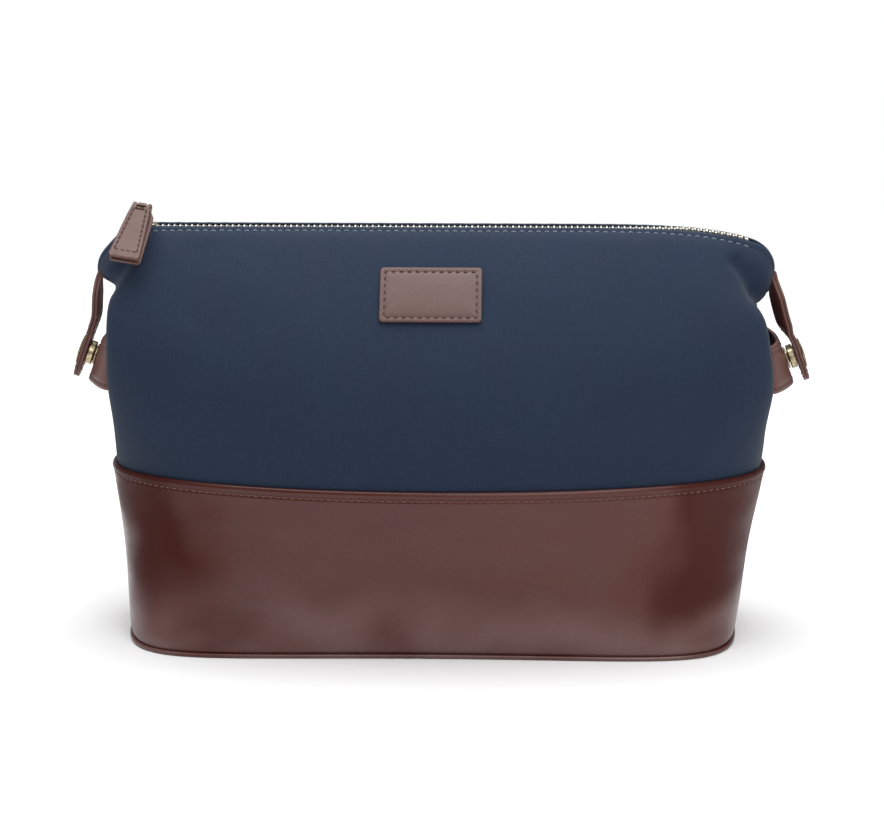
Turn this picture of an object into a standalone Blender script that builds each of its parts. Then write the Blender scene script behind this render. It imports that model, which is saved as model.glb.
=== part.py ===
"""Shaving kit bag: canvas upper, leather base, brass zip and snapped side straps.

Row frame: X along the zip, front towards -Y, +Z up, origin on the floor under the middle.
Lengths are in millimetres here and are turned into metres when a mesh is made.
"""

import math

import bpy
import numpy as np
from mathutils import Matrix, Vector

# ---------------------------------------------------------------- driving dimensions
MM = 0.001
GAP = 0.3                 # clearance between pieces that touch

LEATHER = 1.4             # thickness of the base's leather
CANVAS = 1.1              # thickness of the canvas with its backing
EAR_CANVAS = 1.0
LINING = 0.6
JOINT_Z = 70.6            # top edge of the leather base
LAP = 8.0                 # canvas hidden behind the leather
LINING_TOP_Z = 112.0
FOLD_Z = 121.0            # line that the two lips of the mouth hinge on

BOTTOM_PANEL = 1.6
BASE_BOARD = 1.6
PANEL_RIM = 2.3           # how far the bottom panel stands out past the canvas line

LEVEL_END_X = 100.0       # the zip is level up to here, and hangs beyond it
LIP_END_X = 104.0         # the lips open between these ends
EAR_X = 126.5             # the drooping ears start here

TOOTH_PITCH = 2.4
TOOTH_WIDTH = 1.2
CHAIN_Z = 168.1           # middle of the zip's thickness
CHAIN_HALF = 0.8
SPINE_IN, SPINE_OUT = 2.3, 3.0
TOOTH_TIP = 0.75
STOP_LENGTH = 0.9
TAPE_HALF = 0.25
TAPE_BEND = 3.92          # the tape is flat from the chain out to here
TAPE_SAG = 1.04           # the tape hangs this much more than the zip's own line
TAPE_DEPTH = 2.0          # tape's upper face under the canvas's outer face

SLIDER_X = -120.4
SLIDER_LENGTH = 9.4
PULLER_RISE = math.radians(37.0)
PULLER_REACH = 9.6
PULL_LEAN = math.radians(8.0)
PULL_YAW = math.radians(8.0)     # the link lies this far askew in the slider's crown
PULL_WIDTH = 13.0
PULL_LENGTH = 26.5
PULL_DROP = math.radians(43.0)   # below the horizontal, towards the front
PULL_LAYER = 1.1
CORE_HALF = 0.9
LOOP_RADIUS = 2.2
LOOP_HALF = 2.8
LAYER_TOP = 4.8
BAR_HOLE = 1.05

STRAP_TOP = {-1: (141.3, 147.6), 1: (141.0, 146.0)}   # x, z of the strap's sewn end
STRAP_WIDTH = 13.0
STRAP_THICKNESS = 2.6
SNAP_TILT = math.radians(20.0)   # snap axis above the horizontal
BAND_X = {-1: 141.6, 1: 143.2}   # how far out the band's outer face is under the snap
BAND_Z = 114.8
# x, y of the band's outer face at its middle height, from its front end to the snap.
BAND_REACH = {-1: [(136.6, -27.0), (138.6, -21.0), (140.0, -14.0)],
              1: [(138.4, -27.0), (140.4, -21.0), (141.8, -14.0)]}
BAND_THICKNESS = 1.8
BAND_HEIGHT = 19.0

# Heights along the snap's axis, out from the band's face, and its radii.
STUD_FROM, STUD_FLANGE, STUD_TOP = GAP, 0.8, 3.0
SOCKET_FROM, SOCKET_TO = 1.4, 4.0
STRAP_FROM = SOCKET_TO + GAP
STUD_RADIUS = 2.1
SOCKET_RADIUS = 5.0
CAP_RADIUS = 6.2
PIN_RADIUS = 1.2          # the shanks that pass through the strap and the band
SNAP_HOLE = 1.5

PATCH_WIDTH, PATCH_THICKNESS = 41.0, 1.2
PATCH_LOW_Z, PATCH_TOP_Z = 136.4, 155.4
PATCH_X = -2.2            # sideways place of the patch's middle

# Half of the front's control net, from the middle to the side seam, one row for each level.
# A point is (x, y) at the row's own height, or (x, y, z).
NET = [
    (1.9, [(0, -48), (50, -49.5), (86, -50.5), (108, -47.5), (119.5, -37.5),
           (124, -22), (124.7, -8), (124.7, 0)]),
    (7, [(0, -49), (50, -50), (87, -50), (109, -46.5), (120.5, -36.5),
           (125, -22), (126.2, -8), (126.2, 0)]),
    (26, [(0, -51.5), (50, -51), (89, -47.5), (110, -40.5), (121.5, -28.5),
           (126.4, -15.5), (127.6, -6), (127.6, 0)]),
    (50, [(0, -54.5), (50, -52.5), (91, -44.5), (112.5, -34), (123.5, -22.5),
           (129, -12), (130.6, -4.5), (130.6, 0)]),
    (70, [(0, -56.5), (49, -53.5), (92, -43), (116, -31), (128, -19.5),
           (133.5, -10), (135, -4), (135, 0)]),
    (88, [(0, -59), (49, -56), (94, -46), (118.5, -35), (131.6, -24.5),
           (135, -12.5), (133.7, -5), (132.7, 0)]),
    (106, [(0, -56.5), (49, -55), (95, -47), (121, -38.5), (137.3, -28),
           (134, -15), (127.5, -6.5), (125, 0)]),
    (123, [(0, -50), (49, -49), (94, -44.5), (119.5, -38), (137, -29),
           (131, -17.5), (122, -7.5), (118, 0)]),
    (138, [(0, -38.5, 139), (49, -38, 139), (92, -35.5, 138.5), (114, -32.5, 138), (136, -26.5, 137),
           (129.5, -17.5, 134.5), (122.5, -8.5, 134), (119.5, 0, 134.5)]),
    (153, [(0, -25, 155), (49, -25, 155), (89, -24, 154.5), (109, -22, 153.5), (121, -18, 150),
           (123.5, -14, 145), (127, -8, 141), (129.5, 0, 138.5)]),
    (165, [(0, -12, 165.6), (49, -12, 165.6), (90, -11.8, 165.4), (112, -11.4, 165), (124.5, -10.5, 161),
           (130.5, -9, 154), (135.5, -6.2, 147), (137.5, 0, 142.5)]),
    (169, [(0, -5.4, 169.6), (49, -5.4, 169.6), (90, -5.4, 169.6), (114, -5.4, 169.6), (127.5, -5.5, 169.9),
           (133.5, -2.8, 162.5), (138, -1.3, 153.5), (139.3, 0, 147)]),
]
RIGHT_DROOP = 5.5         # how much lower the right end of the zip hangs
RIGHT_SWELL = 3.0         # how much wider the right side is above the leather
EAR_OUT, EAR_IN = 2.0, 0.8   # the left ear stands out, and the right one is drawn in
BASE_SHIFT = -2.4         # sideways set of the base under the upper


# ---------------------------------------------------------------- scene and materials
def clear_scene():
    for obj in list(bpy.data.objects):
        bpy.data.objects.remove(obj, do_unlink=True)


def material(name, colour, roughness, metallic=0.0):
    made = bpy.data.materials.new(name)
    made.use_nodes = True
    shader = made.node_tree.nodes["Principled BSDF"]
    shader.inputs["Base Color"].default_value = (*colour, 1.0)
    shader.inputs["Roughness"].default_value = roughness
    shader.inputs["Metallic"].default_value = metallic
    return made


def all_materials():
    return {
        "canvas": material("canvas", (0.026, 0.042, 0.078), 0.9),
        "leather": material("leather", (0.105, 0.032, 0.024), 0.4),
        "lining": material("lining", (0.16, 0.15, 0.14), 0.85),
        "tape": material("tape", (0.012, 0.018, 0.035), 0.9),
        "brass": material("brass", (0.50, 0.42, 0.27), 0.35, 1.0),
        "board": material("board", (0.10, 0.09, 0.08), 0.8),
    }


# ---------------------------------------------------------------- mesh helpers
def add_mesh(name, points, faces, finish, origin=(0.0, 0.0, 0.0)):
    """An object from points in millimetres, with its faces turned outwards and its origin at `origin`."""
    points = np.asarray(points, float)
    triangles = [(f[0], f[k], f[k + 1]) for f in faces for k in range(1, len(f) - 1)]
    corners = points[np.array(triangles)]
    volume = np.einsum("ij,ij->i", corners[:, 0], np.cross(corners[:, 1], corners[:, 2])).sum()
    if volume < 0:
        faces = [tuple(reversed(face)) for face in faces]
    mesh = bpy.data.meshes.new(name)
    mesh.from_pydata([tuple(p) for p in (points - origin) * MM], [], faces)
    mesh.materials.append(finish)
    mesh.update()
    obj = bpy.data.objects.new(name, mesh)
    obj.location = Vector(origin) * MM
    bpy.context.scene.collection.objects.link(obj)
    return obj


def add_shell(name, outer, inner, finish, keep=None, origin=(0.0, 0.0, 0.0)):
    """A closed shell between two grids of points, with only the cells in `keep`."""
    rows, columns = outer.shape[:2]
    if keep is None:
        keep = np.ones((rows - 1, columns - 1), bool)
    index = {}
    points = []

    def corner(side, row, column):
        key = (side, row, column)
        if key not in index:
            index[key] = len(points)
            points.append((outer, inner)[side][row, column])
        return index[key]

    def is_kept(row, column):
        return 0 <= row < rows - 1 and 0 <= column < columns - 1 and keep[row, column]

    faces = []
    for row, column in zip(*np.nonzero(keep)):
        ring = [(row, column), (row, column + 1), (row + 1, column + 1), (row + 1, column)]
        faces.append(tuple(corner(0, *p) for p in ring))
        faces.append(tuple(corner(1, *p) for p in reversed(ring)))
        beside = [(row - 1, column), (row, column + 1), (row + 1, column), (row, column - 1)]
        for k, cell in enumerate(beside):
            if not is_kept(*cell):
                a, b = ring[k], ring[(k + 1) % 4]
                faces.append((corner(0, *b), corner(0, *a), corner(1, *a), corner(1, *b)))
    return add_mesh(name, points, faces, finish, origin)


def add_prism(name, outline, place, depth, finish, origin=(0.0, 0.0, 0.0)):
    """An outline in a plane, swept by `depth`. `place` turns (a, b, c) into row-frame millimetres."""
    low = [place(a, b, 0.0) for a, b in outline]
    high = [place(a, b, depth) for a, b in outline]
    count = len(outline)
    faces = [tuple(range(count)), tuple(range(2 * count - 1, count - 1, -1))]
    faces += [(k, k + count, (k + 1) % count + count, (k + 1) % count) for k in range(count)]
    return add_mesh(name, low + high, faces, finish, origin)


def add_turned(name, profile, base, axis, finish, sides=20, origin=None):
    """A profile of (radius, height) turned about `axis` through `base`. Its ends lie on the axis."""
    axis = Vector(axis).normalized()
    across = Vector((0.0, 1.0, 0.0))
    third = axis.cross(across)
    points = []
    rings = []
    for radius, height in profile:
        centre = Vector(base) + axis * height
        if radius == 0:
            rings.append([len(points)] * sides)
            points.append(tuple(centre))
            continue
        rings.append(list(range(len(points), len(points) + sides)))
        for k in range(sides):
            angle = 2 * math.pi * k / sides
            points.append(tuple(centre + radius * (math.cos(angle) * across + math.sin(angle) * third)))
    faces = []
    for low, high in zip(rings, rings[1:]):
        for k in range(sides):
            face = (low[k], low[(k + 1) % sides], high[(k + 1) % sides], high[k])
            face = tuple(dict.fromkeys(face))
            if len(face) > 2:
                faces.append(face)
    return add_mesh(name, points, faces, finish, base if origin is None else origin)


def cut_hole(obj, base, axis, radius, depth):
    """Bores a round hole through obj, with a hidden cutter."""
    profile = [(0, -depth), (radius, -depth), (radius, depth), (0, depth)]
    cutter = add_turned("cutter_" + obj.name, profile, base, axis, obj.data.materials[0], 16)
    cutter.hide_render = True
    cutter.display_type = "WIRE"
    cut = obj.modifiers.new("Hole", "BOOLEAN")
    cut.operation = "DIFFERENCE"
    cut.solver = "EXACT"
    cut.object = cutter


# ---------------------------------------------------------------- the bag's surface
LEVEL_FOOT = 0.15         # below this share of the height the offsets turn level


def spline_weights(count, places):
    """Clamped cubic B-spline weights of `count` control points at `places` from 0 to 1."""
    degree = 3
    inside = np.linspace(0, 1, count - degree + 1)
    knots = np.concatenate([np.zeros(degree), inside, np.ones(degree)])
    places = np.clip(np.asarray(places, float), 0, 1 - 1e-9)[:, None]
    weights = ((knots[:-1] <= places) & (places < knots[1:])).astype(float)
    for order in range(1, degree + 1):
        size = len(knots) - 1 - order
        left = knots[order:order + size] - knots[:size]
        right = knots[order + 1:order + 1 + size] - knots[1:1 + size]
        rise = (places - knots[:size]) / np.where(left > 0, left, np.inf)
        fall = (knots[order + 1:order + 1 + size] - places) / np.where(right > 0, right, np.inf)
        weights = rise * weights[:, :size] + fall * weights[:, 1:1 + size]
    return weights


def control_net():
    """The front's control points as an array of rows, from the left seam to the right one."""
    rows = []
    for height, half in NET:
        right = [np.array(p if len(p) == 3 else (*p, height), float) for p in half]
        left = [(p + (left_set(p), 0, 0)) * (-1, 1, 1) for p in right[:0:-1]]
        right = [p + (right_set(p), 0, -droop(p)) for p in right]
        rows.append(left + right)
    net = np.array(rows)
    lowered = np.clip(1 - net[:, :, 2] / JOINT_Z, 0, 1)
    net[:, :, 0] += BASE_SHIFT * lowered
    return net


def left_set(point):
    """How much further out the left ear stands at a control point."""
    return EAR_OUT * np.clip((point[0] - 126.0) / 8.0, 0, 1) * np.clip((point[2] - 146.0) / 8.0, 0, 1)


def right_set(point):
    """How much further out the right side stands at a control point: fuller below, drawn in at the ear."""
    swell = np.clip((point[0] - 100.0) / 25.0, 0, 1) * np.clip(1 - abs(point[2] - 104.0) / 22.0, 0, 1)
    ear = np.clip((point[0] - 126.0) / 8.0, 0, 1) * np.clip((point[2] - 138.0) / 6.0, 0, 1)
    return RIGHT_SWELL * swell - EAR_IN * ear


def droop(point):
    """How much lower the right end hangs at a control point."""
    across = np.clip((point[0] - 106.0) / 20.0, 0, 1)
    up = np.clip((point[2] - 136.0) / 20.0, 0, 1)
    return RIGHT_DROOP * across * up


CONTROL = control_net()


def surface(us, vs):
    """Points of the canvas's outer face on the front: u from -1 to 1, v from 0 to 1 (the zip)."""
    across = spline_weights(CONTROL.shape[1], (np.asarray(us, float) + 1) / 2)
    up = spline_weights(CONTROL.shape[0], vs)
    return np.einsum("vi,ijk,uj->vuk", up, CONTROL, across)


def outward(us, vs):
    """Unit normals of the same points, pointing out of the bag."""
    us, vs = np.asarray(us, float), np.asarray(vs, float)
    step = 1e-3
    along = surface(np.minimum(us + step, 1), vs) - surface(np.maximum(us - step, -1), vs)
    upward = surface(us, np.minimum(vs + step, 1)) - surface(us, np.maximum(vs - step, 0))
    normal = np.cross(along, upward)
    normal[:, np.abs(us) > 0.999, 1] = 0.0
    normal[:, :, 2] *= np.clip(vs / LEVEL_FOOT, 0, 1)[:, None]
    return normal / np.linalg.norm(normal, axis=2, keepdims=True)


def layer(us, vs, offset, seam=0.0):
    """The surface moved out by `offset`, with its side seams kept `seam` short of the middle plane."""
    points = surface(us, vs) + offset * outward(us, vs)
    points[:, :, 1] = np.minimum(points[:, :, 1], -seam)
    return points


def to_back(points):
    return points * (1, -1, 1)


def v_at_height(height, u=0.0):
    low, high = 0.0, 1.0
    for _ in range(50):
        middle = (low + high) / 2
        if surface([u], [middle])[0, 0, 2] < height:
            low = middle
        else:
            high = middle
    return low


def u_at(x, v=1.0):
    low, high = -1.0, 1.0
    for _ in range(50):
        middle = (low + high) / 2
        if surface([middle], [v])[0, 0, 0] < x:
            low = middle
        else:
            high = middle
    return low


def spaced(*stops):
    """A rising list through (place, steps) pairs: each stretch up to `place` takes `steps` steps."""
    places = [stops[0]]
    for place, steps in stops[1:]:
        places += list(np.linspace(places[-1], place, steps + 1)[1:])
    return np.array(places)


V_JOINT = v_at_height(JOINT_Z)
V_LAP = v_at_height(JOINT_Z - LAP)
V_FOLD = v_at_height(FOLD_Z)
V_LINING_TOP = v_at_height(LINING_TOP_Z)
V_LINING_FOOT = v_at_height(BOTTOM_PANEL + BASE_BOARD + 3 * GAP)
V_EAR = 0.80              # lower edge of the ears
LIP_LEFT, LIP_RIGHT = u_at(-LIP_END_X), u_at(LIP_END_X)
EAR_LEFT, EAR_RIGHT = u_at(-EAR_X), u_at(EAR_X)
U_GAP = 0.004
EAR_GAP = 0.018
V_GAP = 0.004
EAR_ROWS = 5
TAPE_ROWS = (0.92, 0.955, 0.97)


# ---------------------------------------------------------------- body of the bag
def base_outline(offset, steps=40):
    """The base's outline at the floor, moved out by `offset`, all the way round."""
    us = np.linspace(-1, 1, steps)
    front = layer(us, [0.0], offset)[0]
    return np.concatenate([front, to_back(front)[::-1][1:-1]])[:, :2]


def add_slab(name, offset, low, thickness, finish):
    outline = base_outline(offset)
    return add_prism(name, outline, lambda a, b, c: (a, b, low + c), thickness, finish)


def add_base(finishes):
    add_slab("bottom_panel", PANEL_RIM, 0.0, BOTTOM_PANEL, finishes["leather"])
    add_slab("base_board", -0.5, BOTTOM_PANEL + GAP, BASE_BOARD, finishes["board"])
    us = root_columns()
    vs = spaced(0.0, (V_LAP, 5), (V_JOINT, 1))
    outer = layer(us, vs, GAP + LEATHER, seam=0.2)
    inner = layer(us, vs, GAP, seam=0.2)
    add_shell("leather_front", outer, inner, finishes["leather"])
    add_shell("leather_back", to_back(outer), to_back(inner), finishes["leather"])


def root_columns():
    """The columns that the leather and the fixed canvas share, so that their facets stay apart."""
    return spaced(-1.0, (EAR_LEFT + EAR_GAP, 5), (LIP_LEFT - U_GAP, 3), (LIP_RIGHT + U_GAP, 14),
                  (EAR_RIGHT - EAR_GAP, 3), (1.0, 5))


def add_canvas(finishes):
    """The two fixed canvas panels: a band above the leather, with a stem at each end of the mouth."""
    us = root_columns()
    vs = spaced(V_LAP, (V_JOINT, 1), (V_FOLD - V_GAP, 5), (V_EAR - V_GAP, 3), (1.0, EAR_ROWS))
    middle_u = (us[1:] + us[:-1]) / 2
    middle_v = (vs[1:] + vs[:-1]) / 2
    between_lips = (middle_u > LIP_LEFT - U_GAP) & (middle_u < LIP_RIGHT + U_GAP)
    in_ears = (middle_u < EAR_LEFT + EAR_GAP) | (middle_u > EAR_RIGHT - EAR_GAP)
    keep = np.ones((len(middle_v), len(middle_u)), bool)
    keep[np.ix_(middle_v > V_FOLD - V_GAP, between_lips)] = False
    keep[np.ix_(middle_v > V_EAR - V_GAP, in_ears)] = False
    outer = layer(us, vs, 0.0, seam=0.2)
    inner = layer(us, vs, -CANVAS, seam=0.2)
    add_shell("canvas_front", outer, inner, finishes["canvas"], keep)
    add_shell("canvas_back", to_back(outer), to_back(inner), finishes["canvas"], keep)


def lining_loop(v, offset, steps=26):
    """One closed loop of the lining at height v."""
    us = np.linspace(-1, 1, steps)
    front = layer(us, [v], offset)[0]
    return np.concatenate([front, to_back(front)[::-1][1:-1]])


def add_lining(finishes):
    """A cup with a floor: outer loops going up, then inner loops going down."""
    heights = np.linspace(V_LINING_FOOT, V_LINING_TOP, 7)
    outer_offset = -CANVAS - 3 * GAP
    loops = [lining_loop(v, outer_offset) for v in heights]
    loops += [lining_loop(v, outer_offset - LINING) for v in heights[::-1]]
    loops[0][:, 2] = BOTTOM_PANEL + BASE_BOARD + 2 * GAP
    loops[-1][:, 2] = loops[0][0, 2] + LINING
    count = len(loops[0])
    points = np.concatenate(loops)
    faces = [tuple(range(count)), tuple(range(len(points) - 1, len(points) - count - 1, -1))]
    for k in range(len(loops) - 1):
        low, high = k * count, (k + 1) * count
        for n in range(count):
            after = (n + 1) % count
            faces.append((low + n, high + n, high + after, low + after))
    add_mesh("lining", points, faces, finishes["lining"])


def fold_hinge():
    """Where the front lip turns: the foremost point of its lower edge."""
    edge = layer(np.linspace(LIP_LEFT, LIP_RIGHT, 21), [V_FOLD], 0.0)[0]
    foremost = edge[np.argmin(edge[:, 1])]
    return (0.0, foremost[1], foremost[2])


def add_lips(finishes):
    us = spaced(LIP_LEFT, (LIP_RIGHT, 14))
    vs = spaced(V_FOLD, (1.0, 6))
    outer = layer(us, vs, 0.0)
    inner = layer(us, vs, -CANVAS)
    hinge = np.array(fold_hinge())
    add_shell("lip_front", outer, inner, finishes["canvas"], None, hinge)
    add_shell("lip_back", to_back(outer), to_back(inner), finishes["canvas"], None, hinge * (1, -1, 1))


def ear_sheet(side, offset, vs):
    """The ear's grid: in along the front, round the side seam, and out along the back."""
    start = EAR_LEFT if side < 0 else EAR_RIGHT
    front = layer(np.linspace(start, side, 6), vs, offset)
    front[:, -1, 1] = 0.0
    return np.concatenate([front, to_back(front)[:, -2::-1]], axis=1)


def ear_hinge(side):
    start = EAR_LEFT if side < 0 else EAR_RIGHT
    top = surface([start], [1.0])[0, 0]
    return (top[0], 0.0, top[2] + 0.1)


def add_ears(finishes):
    vs = np.linspace(V_EAR, 1.0, EAR_ROWS + 1)
    for side, word in ((-1, "left"), (1, "right")):
        outer = ear_sheet(side, 0.0, vs)
        inner = ear_sheet(side, -EAR_CANVAS, vs)
        add_shell("ear_" + word, outer, inner, finishes["canvas"], None, ear_hinge(side))


# ---------------------------------------------------------------- zip
def comb_outline(start, end, side, shift):
    """A row of teeth in plan: a straight spine with a tooth at each pitch, on one side of the zip."""
    points = [(end, side * SPINE_OUT), (start, side * SPINE_OUT), (start, side * SPINE_IN)]
    first = math.ceil((start + 0.6 - shift) / TOOTH_PITCH)
    last = math.floor((end - 0.6 - TOOTH_WIDTH - shift) / TOOTH_PITCH)
    for k in range(first, last + 1):
        left = shift + k * TOOTH_PITCH
        points += [(left, side * SPINE_IN), (left, side * TOOTH_TIP)]
        points += [(left + TOOTH_WIDTH, side * TOOTH_TIP), (left + TOOTH_WIDTH, side * SPINE_IN)]
    points.append((end, side * SPINE_IN))
    return points


def add_zip_lips(finishes):
    """Each lip carries its half of the chain and its tape."""
    hinge = np.array(fold_hinge())
    start, end = -LIP_END_X + 0.4, LIP_END_X - 0.4
    for side, word, shift in ((-1, "front", 0.0), (1, "back", TOOTH_PITCH / 2)):
        origin = hinge * (1, -side, 1)
        outline = comb_outline(start, end, side, shift)
        add_prism("zip_teeth_" + word, outline, lambda a, b, c: (a, b, CHAIN_Z - CHAIN_HALF + c),
                  2 * CHAIN_HALF, finishes["brass"], origin)
        us = spaced(LIP_LEFT, (LIP_RIGHT, 14))
        vs = np.array(TAPE_ROWS)
        top = tape_sheet(us, vs, TAPE_DEPTH, CHAIN_Z + TAPE_HALF)
        under = tape_sheet(us, vs, TAPE_DEPTH + 2 * TAPE_HALF, CHAIN_Z - TAPE_HALF)
        if side > 0:
            top, under = to_back(top), to_back(under)
        add_shell("zip_tape_" + word, top, under, finishes["tape"], None, origin)


def tape_sheet(us, vs, depth, level):
    """The tape's face: under the canvas, then flat to the edge that the teeth sit on."""
    under_canvas = layer(us, vs, -depth)
    flat = np.repeat(surface(us, [1.0]), 2, axis=0)
    flat[0, :, 1] = -TAPE_BEND
    flat[1, :, 1] = -(SPINE_OUT + GAP)
    flat[:, :, 2] = level + TAPE_SAG * zip_drop(us)
    return np.concatenate([under_canvas, flat])


def zip_drop(us):
    """How far the zip's line lies under its level stretch: only its right end hangs."""
    line = surface(us, [1.0])[0]
    level = surface([u_at(LEVEL_END_X)], [1.0])[0, 0, 2]
    return np.where(line[:, 0] > LEVEL_END_X, line[:, 2] - level, 0.0)


def add_zip_ends(finishes):
    """The fixed ends of the zip: both rows of teeth joined by the stop, and the tape around them."""
    for side, word in ((-1, "left"), (1, "right")):
        near, far = side * (LIP_END_X + 0.4), side * (EAR_X - 0.2)
        xs = np.append(np.linspace(near, far - side * STOP_LENGTH, 6), far)
        add_end_chain(word, xs, zip_drop([u_at(x) for x in xs]), finishes["brass"])
        add_end_tape(word, side, finishes["tape"])


def add_end_chain(word, xs, level, finish):
    """A fork: two plain rails as wide as the teeth, and the stop across their outer end."""
    points, faces = [], []
    widths = [-SPINE_OUT, -TOOTH_TIP, TOOTH_TIP, SPINE_OUT]
    for x, drop in zip(xs, level):
        for y in widths:
            for z in (CHAIN_Z - CHAIN_HALF, CHAIN_Z + CHAIN_HALF):
                points.append((x, y, z + drop))
    per = 8
    last = len(xs) - 2

    def at(k, y, z):
        return k * per + y * 2 + z

    for k in range(len(xs) - 1):
        for y in range(3):
            if y == 1 and k < last:
                continue
            faces.append((at(k, y, 1), at(k + 1, y, 1), at(k + 1, y + 1, 1), at(k, y + 1, 1)))
            faces.append((at(k, y, 0), at(k, y + 1, 0), at(k + 1, y + 1, 0), at(k + 1, y, 0)))
        sides = (0, 3) if k == last else (0, 1, 2, 3)
        for y in sides:
            ring = (at(k, y, 0), at(k + 1, y, 0), at(k + 1, y, 1), at(k, y, 1))
            faces.append(ring if y in (0, 2) else tuple(reversed(ring)))
    for y in (0, 2):
        faces.append((at(0, y, 0), at(0, y, 1), at(0, y + 1, 1), at(0, y + 1, 0)))
    faces.append((at(last, 1, 0), at(last, 1, 1), at(last, 2, 1), at(last, 2, 0)))
    for y in range(3):
        faces.append((at(last + 1, y, 0), at(last + 1, y + 1, 0), at(last + 1, y + 1, 1),
                      at(last + 1, y, 1)))
    add_mesh("zip_end_" + word, points, faces, finish)


def add_end_tape(word, side, finish):
    """The tape at one end, from the front's canvas to the back's, with a slot for the chain."""
    edge = LIP_RIGHT + U_GAP if side > 0 else LIP_LEFT - U_GAP
    ear = EAR_RIGHT - EAR_GAP if side > 0 else EAR_LEFT + EAR_GAP
    us = np.sort(np.linspace(edge, ear, 4))
    vs = np.array(TAPE_ROWS)
    for word_y, turn in (("front", lambda p: p), ("back", to_back)):
        top = turn(tape_sheet(us, vs, TAPE_DEPTH, CHAIN_Z + TAPE_HALF))
        under = turn(tape_sheet(us, vs, TAPE_DEPTH + 2 * TAPE_HALF, CHAIN_Z - TAPE_HALF))
        add_shell("zip_tape_end_" + word + "_" + word_y, top, under, finish)


# ---------------------------------------------------------------- slider and pull
def union_of(name, boxes, finish, origin):
    """One body from overlapping boxes ((low x, y, z), (high x, y, z)), joined by Booleans."""
    made = []
    for number, (low, high) in enumerate(boxes):
        label = name if number == 0 else f"cutter_{name}_{number}"
        outline = [(low[0], low[1]), (high[0], low[1]), (high[0], high[1]), (low[0], high[1])]
        made.append(add_prism(label, outline, lambda a, b, c, low=low: (a, b, low[2] + c),
                              high[2] - low[2], finish, origin))
    for other in made[1:]:
        other.hide_render = True
        other.display_type = "WIRE"
        join = made[0].modifiers.new("Join", "BOOLEAN")
        join.operation = "UNION"
        join.solver = "EXACT"
        join.object = other
    return made[0]


def add_slider(finishes):
    half, x = SLIDER_LENGTH / 2, SLIDER_X
    flange_in, flange_out = 3.2, 4.0
    top, under = CHAIN_Z + 1.1, CHAIN_Z - 1.1
    boxes = [((x - half, -flange_out, top), (x + half, flange_out, top + 0.9)),
             ((x - half, -flange_out, under - 0.8), (x + half, flange_out, under))]
    for side in (-1, 1):
        low, high = sorted((side * flange_in, side * flange_out))
        boxes.append(((x - half, low, CHAIN_Z + 0.55), (x + half, high, top + 0.1)))
        boxes.append(((x - half, low, under - 0.1), (x + half, high, CHAIN_Z - 0.55)))
    boxes.append(((x - half, -0.4, under - 0.1), (x - half + 3.0, 0.4, top + 0.1)))
    for side in (-1, 1):
        low, high = sorted((side * 1.6, side * 2.6))
        boxes.append(((x - 0.8, low, top + 0.8), (x + 0.8, high, top + 4.2)))
    boxes.append(((x - 0.8, -2.6, top + 3.4), (x + 0.8, 2.6, top + 4.3)))
    union_of("zip_slider", boxes, finishes["brass"], (x, 0.0, CHAIN_Z))


def pull_frame(pivot, angle):
    """Places local (across, along, out) points: `along` runs at `angle` from +Y in the YZ plane."""
    lean = pull_turn()
    crown = Vector(crown_point())
    along = Vector((0.0, math.cos(angle), math.sin(angle)))
    out = Vector((0.0, math.sin(angle), -math.cos(angle)))

    def place(across, forward, outward_by):
        point = Vector(pivot) + along * forward + out * outward_by
        point.x += across
        return tuple(lean @ (point - crown) + crown)

    return place


def pull_turn():
    """The turn of the link and the pull about the crown: askew, then leaning."""
    return Matrix.Rotation(-PULL_YAW, 3, "Z") @ Matrix.Rotation(PULL_LEAN, 3, "Y")


def crown_point():
    return (SLIDER_X, 0.0, CHAIN_Z + 1.1 + 2.3)


def pull_bar_point():
    """The puller's far bar, before the lean: the pull's loop turns about it."""
    crown = Vector(crown_point())
    angle = math.pi - PULLER_RISE
    return tuple(crown + PULLER_REACH * Vector((0.0, math.cos(angle), math.sin(angle))))


def ring_faces(outer_count):
    """Faces of a frame made of four loops: outer low, inner low, outer high, inner high."""
    n = outer_count
    faces = []
    for k in range(n):
        after = (k + 1) % n
        faces.append((k, after, n + after, n + k))
        faces.append((2 * n + after, 2 * n + k, 3 * n + k, 3 * n + after))
        faces.append((after, k, 2 * n + k, 2 * n + after))
        faces.append((n + k, n + after, 3 * n + after, 3 * n + k))
    return faces


def add_puller(finishes):
    """A flat metal frame: one bar under the crown, the other inside the pull's leather loop."""
    place = pull_frame(crown_point(), math.pi - PULLER_RISE)
    outer = [(-3.0, -0.6), (3.0, -0.6), (4.2, 2.4), (4.2, PULLER_REACH + 0.6),
             (-4.2, PULLER_REACH + 0.6), (-4.2, 2.4)]
    inner = [(-1.9, 0.6), (1.9, 0.6), (3.1, 3.0), (3.1, PULLER_REACH - 0.6),
             (-3.1, PULLER_REACH - 0.6), (-3.1, 3.0)]
    points = [place(a, b, -0.5) for a, b in outer] + [place(a, b, -0.5) for a, b in inner]
    points += [place(a, b, 0.5) for a, b in outer] + [place(a, b, 0.5) for a, b in inner]
    add_mesh("puller_link", points, ring_faces(len(outer)), finishes["brass"], crown_point())


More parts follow.
